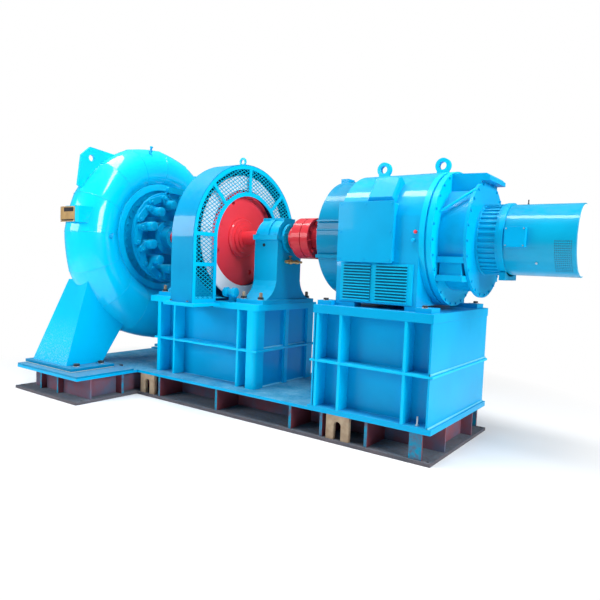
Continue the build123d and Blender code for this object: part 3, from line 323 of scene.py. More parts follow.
def finish(material, *names):
    """Gives the material to the slots of the named CAD nodes."""
    for name in names:
        for place in node[name].material_slots:
            place.material = material


def lay_over(material, mask, colour):
    """Lays a colour over the material's own where the mask is 1."""
    inside = material.node_tree
    base = inside.nodes["Principled BSDF"].inputs["Base Color"]
    inside.links.new(mixed(inside, mask, base.links[0].from_socket, colour), base)
    return material


def point_of(tree):
    """The x, y and z of the point that is painted, on the object's own axes."""
    place = put(tree, "ShaderNodeTexCoord").outputs["Object"]
    return put(tree, "ShaderNodeSeparateXYZ", Vector=place).outputs


def facing(tree):
    """The x, y and z of the face's direction."""
    normal = put(tree, "ShaderNodeNewGeometry").outputs["Normal"]
    return put(tree, "ShaderNodeSeparateXYZ", Vector=normal).outputs


END_WEB_Y, MAIN_FRAME_X = 1.21, -0.86


def stiffener_paint():
    """Primer on the broad faces of a stiffener, rubbed cyan overspray on its outer edge.

    The broad faces are square to Y on the cross frame between its end webs, else to X.
    """
    material = enamel(
        "overspray_on_stiffeners", (0.0, 0.28, 0.46), (0.0, 0.22, 0.38), dust=0.2, bare=0.4,
        rough=0.4, coat=0.1, bare_colour=(0.06, 0.02, 0.02), peel=0.15, scale=2.0,
    )
    inside = material.node_tree
    point, face = point_of(inside), facing(inside)
    end_web = rising(inside, calc(inside, "ABSOLUTE", point["Y"]), END_WEB_Y, END_WEB_Y + 0.01)
    main_frame = rising(inside, point["X"], MAIN_FRAME_X, MAIN_FRAME_X + 0.01)
    broad = inside.nodes.new("ShaderNodeMix")
    for place, value in (
        (0, calc(inside, "MAXIMUM", end_web, main_frame)),
        (2, calc(inside, "ABSOLUTE", face["Y"])), (3, calc(inside, "ABSOLUTE", face["X"])),
    ):
        inside.links.new(value, broad.inputs[place])
    place = put(inside, "ShaderNodeTexCoord").outputs["Object"]
    rubbed = rising(inside, noise(inside, place, 9.0, 5.0, 0.7), 0.44, 0.62)
    lay_over(material, calc(inside, "MULTIPLY", rubbed, 0.75), (0.13, 0.05, 0.065))
    return lay_over(material, rising(inside, broad.outputs[0], 0.5, 0.8), (0.17, 0.045, 0.06))


def trodden_top():
    """Cyan edges under a level top face that is worn to blue grey."""
    material = enamel("trodden_frame_top", CYAN, CYAN_DEEP, dust=0.3, bare=0.6)
    inside = material.node_tree
    place = put(inside, "ShaderNodeTexCoord").outputs["Object"]
    grey = put(inside, "ShaderNodeValToRGB", Fac=noise(inside, place, 4.5, 6.0, 0.65))
    worn, clean = grey.color_ramp.elements
    worn.position, worn.color = 0.35, (0.03, 0.27, 0.46, 1.0)
    clean.position, clean.color = 0.68, (0.14, 0.42, 0.60, 1.0)
    return lay_over(material, rising(inside, facing(inside)["Z"], 0.7, 0.95), grey.outputs[0])


finish(primer, "frame_webs", "frame_cross_webs")
finish(stiffener_paint(), "frame_stiffeners")
finish(sole, "cross_frame_sole_plate", "main_frame_sole_plate")
finish(trodden_top(), "cross_frame_top_plate", "main_frame_top_plate")

# Splice lugs: short forged straps over the joints of the frame sections. They were
# never painted and have gone rusty.
rusty = enamel(
    "rusty_forging", (0.46, 0.36, 0.25), (0.26, 0.17, 0.11), dust=0.3, bare=0.3, rough=0.7,
    coat=0.0, dust_colour=(0.35, 0.30, 0.24), peel=0.5, scale=3.0,
)
finish(rusty, "splice_lugs")


# Frame bolting: hexagon heads in dark oiled steel on zinc washers join the frame's
# sections, and long zinc studs hold the generator's box down.
def basis(axis):
    """The axis and two directions across it, which turn right-handed about it."""
    axis = np.asarray(axis, float) / np.linalg.norm(axis)
    helper = np.array([1.0, 0.0, 0.0]) if abs(axis[2]) > 0.9 else np.array([0.0, 0.0, 1.0])
    first = np.cross(helper, axis)
    first /= np.linalg.norm(first)
    return axis, first, np.cross(axis, first)


def turned(profile, columns, at, axis, start=0.0):
    """A profile of (height along the axis, radius) carried round the axis at each place.

    Point = place + height * axis + radius * (cos a * first + sin a * second).
    """
    axis, first, second = basis(axis)
    at = np.atleast_2d(np.asarray(at, float))
    high, wide = np.array(profile, float).T
    angle = start + np.arange(columns) * 2 * np.pi / columns
    spoke = np.cos(angle)[:, None] * first + np.sin(angle)[:, None] * second
    ring = high[:, None, None] * axis + wide[:, None, None] * spoke[None]
    return at[:, None, None, :] + ring[None]


def lathe(name, turnings, material, body="frame"):
    """One mesh of turned pieces, each a profile, its columns, its places and its axis."""
    parts = [(turned(*turning), True, True) for turning in turnings]
    return surface(name, parts, material, body)


dark_bolt = enamel(
    "oiled_bolt_steel", (0.060, 0.055, 0.060), (0.030, 0.028, 0.032), dust=0.1, bare=0.5,
    rough=0.35, coat=0.2, metal=0.4, bare_colour=(0.35, 0.33, 0.31), scale=6.0, edge=0.0015,
)
zinc = enamel(
    "zinc_washer", (0.62, 0.63, 0.64), (0.45, 0.47, 0.48), dust=0.1, bare=0.1, rough=0.3,
    coat=0.0, metal=0.9, bare_colour=(0.3, 0.3, 0.3), scale=6.0, edge=0.0015,
)


def bolts(name, at, axis, size, painted=None, head=dark_bolt, stud=0.0, body="frame"):
    """Hexagon heads on zinc washers, or heads alone in a paint, with studs where asked.

    Sizes follow the thread: a washer 1.05 in radius and 0.17 thick, a head 0.9 in radius
    and 0.65 high.
    """
    low, top = 0.17 * size, 0.82 * size
    if painted is None:
        washer = [
            (0.0, 1.05 * size), (low * 0.8, 1.05 * size), (low, 0.98 * size), (low, 0.3 * size)
        ]
        lathe(name + "_washers", [(washer, 16, at, axis)], zinc, body=body)
    hexagon = [
        (low, 0.86 * size), (low * 1.3, 0.9 * size), (top * 0.94, 0.9 * size),
        (top, 0.76 * size), (top, 0.3 * size),
    ]
    turnings = [(hexagon, 6, at, axis, 0.26)]
    if stud:
        rod = [(top, 0.5 * size), (top + stud * 0.85, 0.5 * size), (top + stud, 0.4 * size)]
        turnings.append((rod, 12, at, axis))
    lathe(name + "_heads", turnings, painted or head, body=body)


def grid_of(xs, ys, zs):
    """Every combination of the given x, y and z as places."""
    return np.stack(np.meshgrid(xs, ys, zs, indexing="ij"), -1).reshape(-1, 3)


def both(reach):
    """A distance to each side of the middle."""
    return (-reach, reach)


X, Y, Z = (1, 0, 0), (0, 1, 0), (0, 0, 1)
FRONT = (0, -1, 0)
FRAME_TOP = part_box("main_frame_top_plate")[1].z
BOX_FLANGE_T = 0.018
JOINT_BOLT_X, JOINT_BOLT_Y = -1.147, 0.655
ANCHOR_X, ANCHOR_Y, ANCHOR_STUD = 2.478, 0.600, 0.060
bolts("frame_joint_bolts", grid_of([JOINT_BOLT_X], both(JOINT_BOLT_Y), [FRAME_TOP]), Z, 0.024)
bolts(
    "box_anchor_studs", grid_of([ANCHOR_X], both(ANCHOR_Y), [FRAME_TOP + BOX_FLANGE_T]), Z,
    0.018, head=zinc, stud=ANCHOR_STUD,
)

# Boxes under the flywheel and the generator: plate walls behind flat-bar ribs, welded
# along their seams and painted over; the bars in a lighter cyan as painted light and the
# walls in a darker one as painted shade in the recesses.
BAR, BAR_DEEP = (0.0, 0.56, 0.90), (0.0, 0.52, 0.86)
SHADED_BLUE = (0.006, 0.080, 0.27)
# Painted shade: the walls' darker cyan. Painted light: the bars' lighter cyan.
shaded_wall_paint = enamel("cyan_enamel_walls_painted_shade", (0.0, 0.37, 0.70), (0.0, 0.34, 0.65))
lit_bar_paint = enamel("cyan_enamel_bars_painted_light", BAR, BAR_DEEP, dust=0.05, bare=0.1)


def plate_with_painted_guard_shadow():
    """The bars' lighter cyan as painted light, and a painted shadow in dark blue on the plate
    where the guard stands over it.
    """
    material = enamel("cyan_enamel_flywheel_plate_painted_shadow", BAR, BAR_DEEP, dust=0.05)
    inside = material.node_tree
    point = point_of(inside)
    half_x, half_y = 0.146, 0.81
    along = calc(inside, "COMPARE", point["X"], 0.0, half_x)
    aside = calc(inside, "COMPARE", point["Y"], 0.0, half_y)
    # Painted shadow of the guard on the plate.
    return lay_over(material, calc(inside, "MULTIPLY", along, aside), SHADED_BLUE)


finish(shaded_wall_paint, "box_side_walls")
finish(cyan, "box_end_walls", "box_bottom_flanges", "generator_box_top_plate")
finish(lit_bar_paint, "box_upright_ribs", "box_girth_ribs", "guard_shelves")
finish(plate_with_painted_guard_shadow(), "flywheel_box_top_plate")


def bead(path, radius, aim=(0, 0, 1)):
    """A round weld bead along a path of points, its radius rippled by a wave every 6 mm.

    Point = path + radius * (1 + 0.12 sin(wave)) * (cos a * side + sin a * up).
    """
    path = np.asarray(path, float)
    ahead = np.gradient(path, axis=0)
    ahead /= np.linalg.norm(ahead, axis=1, keepdims=True)
    side = np.cross(np.asarray(aim, float), ahead)
    side /= np.linalg.norm(side, axis=1, keepdims=True)
    up = np.cross(ahead, side)
    run = np.concatenate([[0.0], np.linalg.norm(np.diff(path, axis=0), axis=1).cumsum()])
    width = radius * (1 + 0.12 * np.sin(run * 2 * np.pi / 0.006))
    angle = np.arange(6)[None, :, None] * 2 * np.pi / 6
    ring = np.cos(angle) * side[:, None] + np.sin(angle) * up[:, None]
    return ((path[:, None] + width[:, None, None] * ring)[None], True, True)


def straight_bead(start, end, radius, pitch=0.006):
    """A bead on evenly spaced points from start to end."""
    start, end = np.asarray(start, float), np.asarray(end, float)
    count = max(3, int(np.linalg.norm(end - start) / pitch))
    return bead(start + np.linspace(0, 1, count)[:, None] * (end - start), radius)


FLY_X, FLY_WALL, FLY_FOOT, FLY_GIRTH = (-0.69, 0.68), 0.369, FRAME_TOP, 0.65
GEN_X, GEN_WALL, GEN_FOOT, GEN_GIRTH = (1.49, 2.582), 0.508, FRAME_TOP + BOX_FLANGE_T, 0.695
GEN_OUT = 0.648
RIB_X, RIB_HALF_T = (1.764, 2.362), 0.013
SEAM_R, RIB_SEAM_R, END_SEAM_R, END_GIRTH_RISE = 0.005, 0.004, 0.011, 0.008
seams = []
for side in (-1, 1):
    for (x0, x1), wall, foot, girth in (
        (FLY_X, FLY_WALL, FLY_FOOT, FLY_GIRTH), (GEN_X, GEN_WALL, GEN_FOOT, GEN_GIRTH),
    ):
        for z in (foot, girth):
            seams.append(straight_bead((x0, side * wall, z), (x1, side * wall, z), SEAM_R))
    for x in RIB_X:
        face = x + RIB_HALF_T
        wall_end, rib_end = (face, side * GEN_WALL, GEN_FOOT), (face, side * GEN_OUT, GEN_FOOT)
        seams.append(straight_bead(wall_end, rib_end, RIB_SEAM_R))
surface("box_weld_beads", seams, cyan)
end_seams = [
    straight_bead((x, -half, z), (x, half, z), END_SEAM_R)
    for x, half, foot, girth in (
        (GEN_X[1], GEN_OUT, GEN_FOOT, GEN_GIRTH), (FLY_X[1], FLY_WALL, FLY_FOOT, FLY_GIRTH),
    )
    for z in (foot, girth + END_GIRTH_RISE)
]
# The end walls' beads are a pale cyan as painted highlight on their ripples.
bead_highlight_paint = enamel("pale_cyan_painted_highlight_on_beads", (0.20, 0.70, 0.90), (0.08, 0.60, 0.84), coat=0.6)
surface("end_wall_beads", end_seams, bead_highlight_paint)

# Turbine case: rolled steel segments welded round the stay ring in thick glossy enamel,
# with a seam every 22.5 degrees and a section that grows towards the inlet.
CASE_X, SHAFT_Z = -1.42, 1.77
CASE_IN, STAY_OUT = 0.595, 0.645
CASE_START_R, CASE_GROWTH = 0.185, 0.00053
SEGMENT, CASE_TURN = 22.5, 270.0
CASE_SEAM_R = 0.003
# The case's enamel is a lighter cyan than the boxes', as painted light for the glare on it.
lit_case_paint = enamel(
    "glossy_case_enamel_painted_light", (0.0, 0.61, 0.94), (0.0, 0.57, 0.92), coat=0.7, dust=0.05
)
finish(
    lit_case_paint, "inlet_pipe", "draft_cone", "lifting_lugs", "nameplate_bracket", "stay_ring"
)


def case_curve(angle, around):
    """Points of the case's round section at an angle in degrees about the shaft.

    Its radius grows evenly with the angle and its inner edge stays at one distance; z is
    measured from the shaft.
    """
    small = CASE_START_R + CASE_GROWTH * angle
    far = CASE_IN + small + small * np.sin(around)
    at = np.radians(angle)
    return np.stack([CASE_X + small * np.cos(around), far * np.cos(at), far * np.sin(at)], -1)


def case_shell(steps=20, columns=96, rolled=0.6):
    """The case's skin: a round section carried round the shaft while its radius grows.

    Each segment lies between the straight plate (a chord from joint to joint) and the
    rolled one (the true curve); rolled says how near to the curve. Nearer to the shaft
    than the stay ring's edge, points are moved out to that edge.
    """
    angle = np.linspace(0.0, CASE_TURN, int(CASE_TURN / SEGMENT) * steps + 1)[:, None]
    around = np.arange(columns)[None] * 2 * np.pi / columns
    joint = np.minimum(np.floor(angle / SEGMENT), CASE_TURN / SEGMENT - 1) * SEGMENT
    share = ((angle - joint) / SEGMENT)[..., None]
    plate = (1 - share) * case_curve(joint, around)
    plate += share * case_curve(joint + SEGMENT, around)
    skin = rolled * case_curve(angle, around) + (1 - rolled) * plate
    far = np.linalg.norm(skin[..., 1:], axis=-1, keepdims=True)
    skin[..., 1:] *= np.maximum(far, STAY_OUT) / far
    skin[..., 2] += SHAFT_Z
    return (skin[None], True, True)


def case_seam(angle):
    """A bead round one joint of the case, from the stay ring's edge outwards and back."""
    around = np.linspace(0, 2 * np.pi, 181)[:-1]
    ring = case_curve(angle, around)
    keep = np.hypot(ring[:, 1], ring[:, 2]) > STAY_OUT
    order = np.roll(np.arange(len(around)), -int(np.argmin(keep)))
    path = ring[order][keep[order]] + (0.0, 0.0, SHAFT_Z)
    at = math.radians(angle)
    return bead(path, CASE_SEAM_R, (0, -math.sin(at), math.cos(at)))


case_skin = surface(
    "spiral_case_skin", [case_shell()], lit_case_paint, crease=40.0
)
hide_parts("spiral_case")
seam_angles = np.arange(0.0, CASE_TURN + 1.0, SEGMENT)
surface("case_seam_beads", [case_seam(a) for a in seam_angles], lit_case_paint)


# Legs: tapered boxes of plate under the case, dusty low down on the near side, on foot
# plates over a pale shim and a packer, each held by four bolts.
FOOT_CYAN, FOOT_DEEP, SHIM_TOP = (0.0, 0.25, 0.47), (0.0, 0.22, 0.43), 0.292


def leg_paint():
    """A lighter cyan as painted light, with pale specks on faces turned to -Y, thick at the foot
    and gone higher up.
    """
    material = enamel("cyan_enamel_dusty_legs", (0.0, 0.50, 0.84), (0.0, 0.46, 0.80), dust=0.2)
    inside = material.node_tree
    dusty_z, clean_z = 0.32, 0.85
    low = rising(inside, point_of(inside)["Z"], clean_z, dusty_z)
    front = rising(inside, facing(inside)["Y"], -0.5, -0.8)
    place = put(inside, "ShaderNodeTexCoord").outputs["Object"]
    specks = rising(inside, noise(inside, place, 70.0, 6.0, 0.8), 0.5, 0.66)
    dusty = calc(inside, "MULTIPLY", calc(inside, "MULTIPLY", low, front), specks)
    return lay_over(material, calc(inside, "MULTIPLY", dusty, 0.6), (0.62, 0.76, 0.82))


def foot_paint():
    """Deep cyan on the foot plate, and the pale shim that shows under it."""
    material = enamel("cyan_foot_plate_over_pale_shim", FOOT_CYAN, FOOT_DEEP, dust=0.2)
    inside = material.node_tree
    shim = rising(inside, point_of(inside)["Z"], SHIM_TOP + 0.0008, SHIM_TOP - 0.0002)
    return lay_over(material, shim, (0.74, 0.78, 0.68))


finish(leg_paint(), "turbine_legs")
finish(enamel("cyan_packer_plates", FOOT_CYAN, FOOT_DEEP, dust=0.4), "leg_packer_plates")
finish(foot_paint(), "leg_foot_plates")
FOOT_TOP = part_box("leg_foot_plates")[1].z
LEG_BOLT_X = (-1.195, -1.958)
for leg, bolt_y in (("front", (-1.185, -0.887)), ("back", (0.62, 0.92))):
    bolts(f"leg_foot_bolts_{leg}", grid_of(LEG_BOLT_X, bolt_y, [FOOT_TOP]), Z, 0.037)


# Covers: cast head cover, seal housing and draft side cover, each held by a ring of
# small bolts that were painted over with it.
def about_shaft(radius, count, start, x):
    """Even places on a circle about the shaft, start in degrees from +Y towards +Z."""
    angle = np.radians(start) + np.arange(count) * 2 * np.pi / count
    return np.stack(
        [np.full(count, x), radius * np.cos(angle), SHAFT_Z + radius * np.sin(angle)], -1
    )


def ring_bolts(name, radius, count, start, face_x, size, paint, way=1, **more):
    """Painted heads on a circle about the shaft, on a face that looks along +X or -X."""
    at = about_shaft(radius, count, start, face_x)
    bolts(name, at, (way, 0, 0), size, paint, **more)


finish(cast_cyan, "head_cover", "shaft_seal_housing", "draft_side_cover")
ring_bolts("head_cover_bolts", 0.505, 36, 5.0, face_x=-1.29, size=0.017, paint=cast_cyan)
ring_bolts("seal_housing_bolts", 0.178, 8, 22.5, face_x=-1.14, size=0.013, paint=cast_cyan)
ring_bolts(
    "draft_cover_bolts", 0.525, 24, 5.0, face_x=-1.55, size=0.017, paint=cast_cyan, way=-1
)

# Guide-vane gear: cast levers clamped on the vane stems under domed caps, joined by
# flat links and round pins to a steel ring.
VANES, VANE_START = 12, 104.0
STEM_R, STEM_END_X = 0.391, -0.96
LEVER_PIN_R, LEVER_PIN_TURN, LEVER_FACE_X = 0.480, 4.5, -1.04
RING_PIN_R, RING_PIN_TURN, LINK_FACE_X = 0.505, 24.5, -1.08
finish(cast_cyan, "guide_vane_levers", "guide_vane_links", "operating_ring", "regulating_rod")
dome = [(0.0, 0.051), (0.006, 0.049), (0.011, 0.042), (0.014, 0.028), (0.015, 0.004)]
pin = [(0.0, 0.017), (0.018, 0.017), (0.022, 0.013), (0.023, 0.003)]
stem_ends = about_shaft(STEM_R, VANES, VANE_START, STEM_END_X)
lever_pins = about_shaft(LEVER_PIN_R, VANES, VANE_START + LEVER_PIN_TURN, LEVER_FACE_X)
ring_pins = about_shaft(RING_PIN_R, VANES, VANE_START + RING_PIN_TURN, LINK_FACE_X)
lathe("guide_vane_stem_caps", [(dome, 24, stem_ends, X)], cast_cyan)
lathe(
    "link_pins", [(pin, 14, lever_pins, X), (pin, 14, ring_pins, X)], cast_cyan
)


# Nameplate: blank etched brass with two dark enamel fields, on four round rivets on its
# bent bracket.
def slab_part(low, high):
    """A flat plate as a grid: four upright corners, rows at its bottom and top."""
    (x0, y0, z0), (x1, y1, z1) = low, high
    ring = np.array([(x0, y0), (x1, y0), (x1, y1), (x0, y1)])
    rows = [np.column_stack([ring, np.full(4, z)]) for z in (z0, z1)]
    return (np.array(rows)[None], True, True)


brass = enamel(
    "etched_brass", (0.56, 0.36, 0.15), (0.44, 0.27, 0.11), dust=0.0, bare=0.2, rough=0.32,
    coat=0.1, metal=0.7, scale=5.0, edge=0.0015,
)
dark_field_and_hole_shade = enamel(
    "dark_enamel_field_and_painted_hole_shade", (0.03, 0.03, 0.035), (0.02, 0.02, 0.025), dust=0.0, bare=0.1, rough=0.4
)
finish(brass, "nameplate")
(plate_x0, plate_y, plate_z0), (plate_x1, _, plate_z1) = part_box("nameplate")
RIM, FIELD_SIDE, FIELD_T = 0.012, 0.020, 0.0008
FIELD_LEFT, FIELD_DROP, STRIP_TOP = 0.066, 0.056, 0.026
rivet = [(0.0, 0.006), (0.002, 0.0055), (0.0035, 0.003), (0.004, 0.0008)]
rivet_at = grid_of((plate_x0 + RIM, plate_x1 - RIM), [plate_y], (plate_z0 + RIM, plate_z1 - RIM))
lathe("nameplate_rivets", [(rivet, 12, rivet_at, FRONT)], zinc)
upper_field = slab_part(
    (plate_x0 + FIELD_LEFT, plate_y - FIELD_T, plate_z1 - FIELD_DROP),
    (plate_x1 - FIELD_SIDE, plate_y, plate_z1 - RIM),
)
lower_strip = slab_part(
    (plate_x0 + FIELD_SIDE, plate_y - FIELD_T, plate_z0 + RIM),
    (plate_x1 - FIELD_SIDE, plate_y, plate_z0 + STRIP_TOP),
)
surface("nameplate_dark_field", [upper_field, lower_strip], dark_field_and_hole_shade)

# Case fittings: a hexagon plug in a boss on the case's face and a vent fitting on its
# crown, both painted with the case.
PLUG_AT, PLUG_AIM = (-1.157, -0.821, 1.734), (1, -0.25, 0.0)
VENT_AT, VENT_AIM = (-1.25, -0.215, 2.765), (0.5, -0.2, 1.0)
plug = [
    (0.0, 0.030), (0.012, 0.030), (0.014, 0.024), (0.030, 0.024), (0.034, 0.018), (0.034, 0.004)
]
vent = [
    (0.0, 0.02), (0.02, 0.02), (0.024, 0.012), (0.05, 0.012), (0.056, 0.018), (0.07, 0.018),
    (0.074, 0.004),
]
lathe("case_gauge_plug", [(plug, 6, [PLUG_AT], PLUG_AIM)], cyan)
lathe("case_vent", [(vent, 16, [VENT_AT], VENT_AIM)], cyan)

# Flywheel and shaft: a cast wheel with its rim turned bright on both sides and painted
# shade on the tread, and web and shaft in red enamel. The runner is as bright as the rim.
red = enamel(
    "red_enamel", (1.0, 0.062, 0.090), (0.94, 0.052, 0.075), dust=0.05, bare=0.3, coat=0.5,
    bare_colour=(0.25, 0.05, 0.05),
)


def rim_paint():
    """Pale turned faces, and painted shade in dark blue on the tread, where the face hardly looks
    along the shaft.
    """
    material = enamel(
        "pale_turned_rim_painted_shade_tread", (0.95, 0.92, 0.93), (0.86, 0.83, 0.85), dust=0.0, bare=0.2,
        rough=0.34, coat=0.2, bare_colour=(0.4, 0.36, 0.36),
    )
    inside = material.node_tree
    along = calc(inside, "ABSOLUTE", facing(inside)["X"])
    return lay_over(material, calc(inside, "LESS_THAN", along, 0.5), (0.02, 0.045, 0.10))


finish(red, "flywheel_web", "main_shaft")
finish(rim_paint(), "flywheel_rim", "runner")

# Guard: an arch of rolled sheet over the wheel with flat-bar frames, closed by painted
# expanded metal on the generator side and by plain sheet on the turbine side.
ARCH_Z, GUARD_FOOT_Z, ARCH_OUT, ARCH_IN = 1.731, 1.10, 0.80, 0.51
SCREEN_X, SCREEN_T = 0.147, 0.003


def guard_paint():
    """A darker cyan outside as painted shade, and painted shade in dark blue inside, where a face
    turns to the wheel.

    A face turns inwards where y * its Y + max(z - arch, 0) * its Z, or x * its X, is below
    nought.
    """
    material = enamel("cyan_enamel_guard_painted_shade", (0.0, 0.33, 0.62), (0.0, 0.28, 0.56), coat=0.3)
    inside = material.node_tree
    point, face = point_of(inside), facing(inside)
    over = calc(inside, "MAXIMUM", calc(inside, "SUBTRACT", point["Z"], ARCH_Z), 0.0)
    outward = calc(
        inside, "ADD", calc(inside, "MULTIPLY", point["Y"], face["Y"]),
        calc(inside, "MULTIPLY", over, face["Z"]),
    )
    shell_inside = calc(inside, "LESS_THAN", outward, -0.1)
    along = calc(inside, "MULTIPLY", point["X"], face["X"])
    sheet_inside = calc(inside, "LESS_THAN", along, -0.1)
    return lay_over(material, calc(inside, "MAXIMUM", shell_inside, sheet_inside), SHADED_BLUE)


def expanded_metal(x, cell_y=0.066, cell_z=0.040, strand=0.0066):
    """Diamond strands over the arch between two radii and down its straight legs.

    Strand ends lie on a staggered grid; each strand is a flat bar from one to the next.
    """
    y = np.arange(-ARCH_OUT, ARCH_OUT + cell_y, cell_y / 2)
    z = np.arange(GUARD_FOOT_Z, ARCH_Z + ARCH_OUT + cell_z, cell_z / 2)
    column, row = np.meshgrid(np.arange(len(y) - 1), np.arange(len(z) - 1), indexing="ij")
    column, row = column.ravel(), row.ravel()
    upwards = (column + row) % 2 == 0
    start = np.stack([y[column], np.where(upwards, z[row], z[row + 1])], -1)
    end = np.stack([y[column + 1], np.where(upwards, z[row + 1], z[row])], -1)
    kept = np.ones(len(start), bool)
    for side, high in (start.T, end.T):
        far = np.where(high > ARCH_Z, np.hypot(side, high - ARCH_Z), np.abs(side))
        kept &= (far < ARCH_OUT) & (far > ARCH_IN) & (high > GUARD_FOOT_Z)
    start, end = start[kept], end[kept]
    ahead = (end - start) / np.linalg.norm(end - start, axis=1, keepdims=True)
    across = np.stack([-ahead[:, 1], ahead[:, 0]], -1) * strand / 2
    back, front = np.full(len(start), x - SCREEN_T / 2), np.full(len(start), x + SCREEN_T / 2)
    rows = [
        np.stack([
            np.column_stack([face_x, place + sign * across])
            for face_x, sign in ((back, -1), (front, -1), (front, 1), (back, 1))
        ], 1)
        for place in (start, end)
    ]
    return (np.stack(rows, 1), True, True)


def arch_sheet(x):
    """A flat sheet in the shape of the arch: a small section carried up, over and down.

    Corners lie at the inner and outer radius, on both faces of the sheet.
    """
    over = np.linspace(0.0, np.pi, 73)
    spoke = np.column_stack([np.cos(over), np.sin(over)])
    inner, outer = (
        np.concatenate([[(r, GUARD_FOOT_Z)], spoke * r + (0.0, ARCH_Z), [(-r, GUARD_FOOT_Z)]])
        for r in (ARCH_IN, ARCH_OUT)
    )
    back, front = np.full(len(inner), x - SCREEN_T / 2), np.full(len(inner), x + SCREEN_T / 2)
    corners = [
        np.column_stack([face_x, line])
        for face_x, line in ((back, inner), (front, inner), (front, outer), (back, outer))
    ]
    return (np.stack(corners, 1)[None], True, True)


# The guard's shell and back sheet: painted shade, a darker cyan outside and dark blue inside.
shell_paint = guard_paint()
mesh_paint = enamel(
    "painted_expanded_metal", (0.0, 0.52, 0.80), (0.0, 0.46, 0.74), dust=0.0, bare=0.0,
    rough=0.35, edge=0.001,
)
finish(lit_bar_paint, "guard_frames", "lifting_eyes")
finish(shell_paint, "guard_shell")
screens = surface("guard_expanded_metal", [expanded_metal(SCREEN_X)], mesh_paint)
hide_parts("guard_mesh_panels")
surface("guard_back_sheet", [arch_sheet(-SCREEN_X)], shell_paint)
PLATE_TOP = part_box("flywheel_box_top_plate")[1].z
GUARD_BOLT_X, GUARD_BOLT_Y = 0.12, 0.846
bolts("guard_foot_bolts", grid_of(both(GUARD_BOLT_X), both(GUARD_BOLT_Y), [PLATE_TOP]), Z, 0.012)

# Bearing pedestals: cast bodies with split caps and end covers, held to the box by four
# large bolts whose bare stud ends have rusted.
PEDESTAL_X, PEDESTAL_FOOT_T = (0.56, -0.62), 0.042
FOOT_BOLT_IN, FOOT_BOLT_Y = 0.11, 0.39
CAP_BOLT_IN, CAP_BOLT_Y, CAP_FLANGE = 0.12, 0.211, 0.026
COVER_FACE, COVER_BOLTS_R = 0.186, 0.13
PLUG_X, PLUG_Y, PLUG_Z = (0.532, -0.64), -0.2, 1.692
finish(cast_cyan, "bearing_pedestals", "bearing_caps", "bearing_end_covers")


def pedestal_places(reach_x, reach_y, z):
    """Four places about each pedestal's middle, at one height."""
    return grid_of([x + dx for x in PEDESTAL_X for dx in both(reach_x)], both(reach_y), [z])


pedestal_studs = pedestal_places(FOOT_BOLT_IN, FOOT_BOLT_Y, PLATE_TOP + PEDESTAL_FOOT_T)
bolts("pedestal_foot_bolts", pedestal_studs, Z, 0.034)
stud_end = [(0.02, 0.017), (0.066, 0.017), (0.072, 0.012), (0.073, 0.003)]
lathe("pedestal_stud_ends", [(stud_end, 14, pedestal_studs, Z)], rusty)
cap_places = pedestal_places(CAP_BOLT_IN, CAP_BOLT_Y, SHAFT_Z + CAP_FLANGE)
bolts("bearing_cap_bolts", cap_places, Z, 0.013, cast_cyan)
for number, (x, way) in enumerate((x, way) for x in PEDESTAL_X for way in (1, -1)):
    ring_bolts(
        f"end_cover_bolts_{number}", COVER_BOLTS_R, 8, 22.5, face_x=x + way * COVER_FACE,
        size=0.012, paint=cast_cyan, way=way,
    )
# Dark discs on the pedestals' faces are painted shade for the recesses of their plugs.
plug_recess = [(0.0, 0.017), (0.003, 0.017), (0.003, 0.010), (0.001, 0.008)]
plug_places = grid_of(PLUG_X, [PLUG_Y], [PLUG_Z])
lathe("pedestal_plugs", [(plug_recess, 12, plug_places, FRONT)], dark_field_and_hole_shade)

# Drain valve: a short brass pipe with unions along the near pedestal's end face, an
# elbow into the casting and a small handle on top.
UNION_AT, ELBOW_AT, HANDLE_AT = (0.752, -0.111, 1.53), (0.71, 0.02, 1.53), (0.752, -0.04, 1.548)
union = [
    (0.0, 0.008), (0.0, 0.016), (0.05, 0.016), (0.055, 0.025), (0.09, 0.025), (0.096, 0.014),
    (0.165, 0.014), (0.17, 0.022), (0.2, 0.022), (0.205, 0.012), (0.27, 0.012), (0.276, 0.004),
]
elbow = [(0.0, 0.022), (0.012, 0.022), (0.016, 0.013), (0.045, 0.013)]
handle = [(0.0, 0.007), (0.03, 0.007), (0.034, 0.018), (0.042, 0.018), (0.046, 0.006)]
lathe(
    "drain_valve",
    [(union, 16, [UNION_AT], Y), (elbow, 16, [ELBOW_AT], X), (handle, 12, [HANDLE_AT], Z)],
    brass,
)

# Brake unit by the wheel: a short level cylinder between two collars, a painted casting
# on the box's top plate.
brake = [
    (0.0, 0.028), (0.0, 0.046), (0.012, 0.050), (0.040, 0.050), (0.046, 0.034), (0.10, 0.034),
    (0.106, 0.050), (0.134, 0.050), (0.146, 0.046), (0.15, 0.02),
]
finish(cast_cyan, "brake_jack")
BRAKE_AT, BRAKE_AIM = (0.24, -0.45, 1.2), (1, 0.15, 0)
lathe("brake_cylinder", [(brake, 28, [BRAKE_AT], BRAKE_AIM)], cast_cyan)

# Coupling: two forged halves in duller red enamel, joined by bushed pins whose nuts show
# on the far face.
dull_red = enamel(
    "red_enamel_on_coupling", (0.66, 0.035, 0.05), (0.54, 0.028, 0.042), dust=0.1, bare=0.5,
    rough=0.38, coat=0.3, bare_colour=(0.2, 0.05, 0.05),
)
finish(dull_red, "coupling_turbine_half", "coupling_generator_half")
ring_bolts(
    "coupling_pin_nuts", 0.15, 8, 12.0, face_x=1.044, size=0.024, paint=dull_red, stud=0.004,
    body="rotor",
)

# Generator: a rolled and welded stator frame with flat sides, pressed louvres under its
# terminal box, sheet-metal end covers and a deep flange ring.
LOUVRE_COLUMNS = ((1.716, 1.979), (2.025, 2.306))
LOUVRE_RIM, LOUVRE_DEEP = 0.014, 0.004
STATOR_X, STATOR_SIDE, STATOR_R = 1.64, 0.545, 0.564
STATOR_BASE, STATOR_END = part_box("stator_frame")[0].z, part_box("stator_frame")[1].x


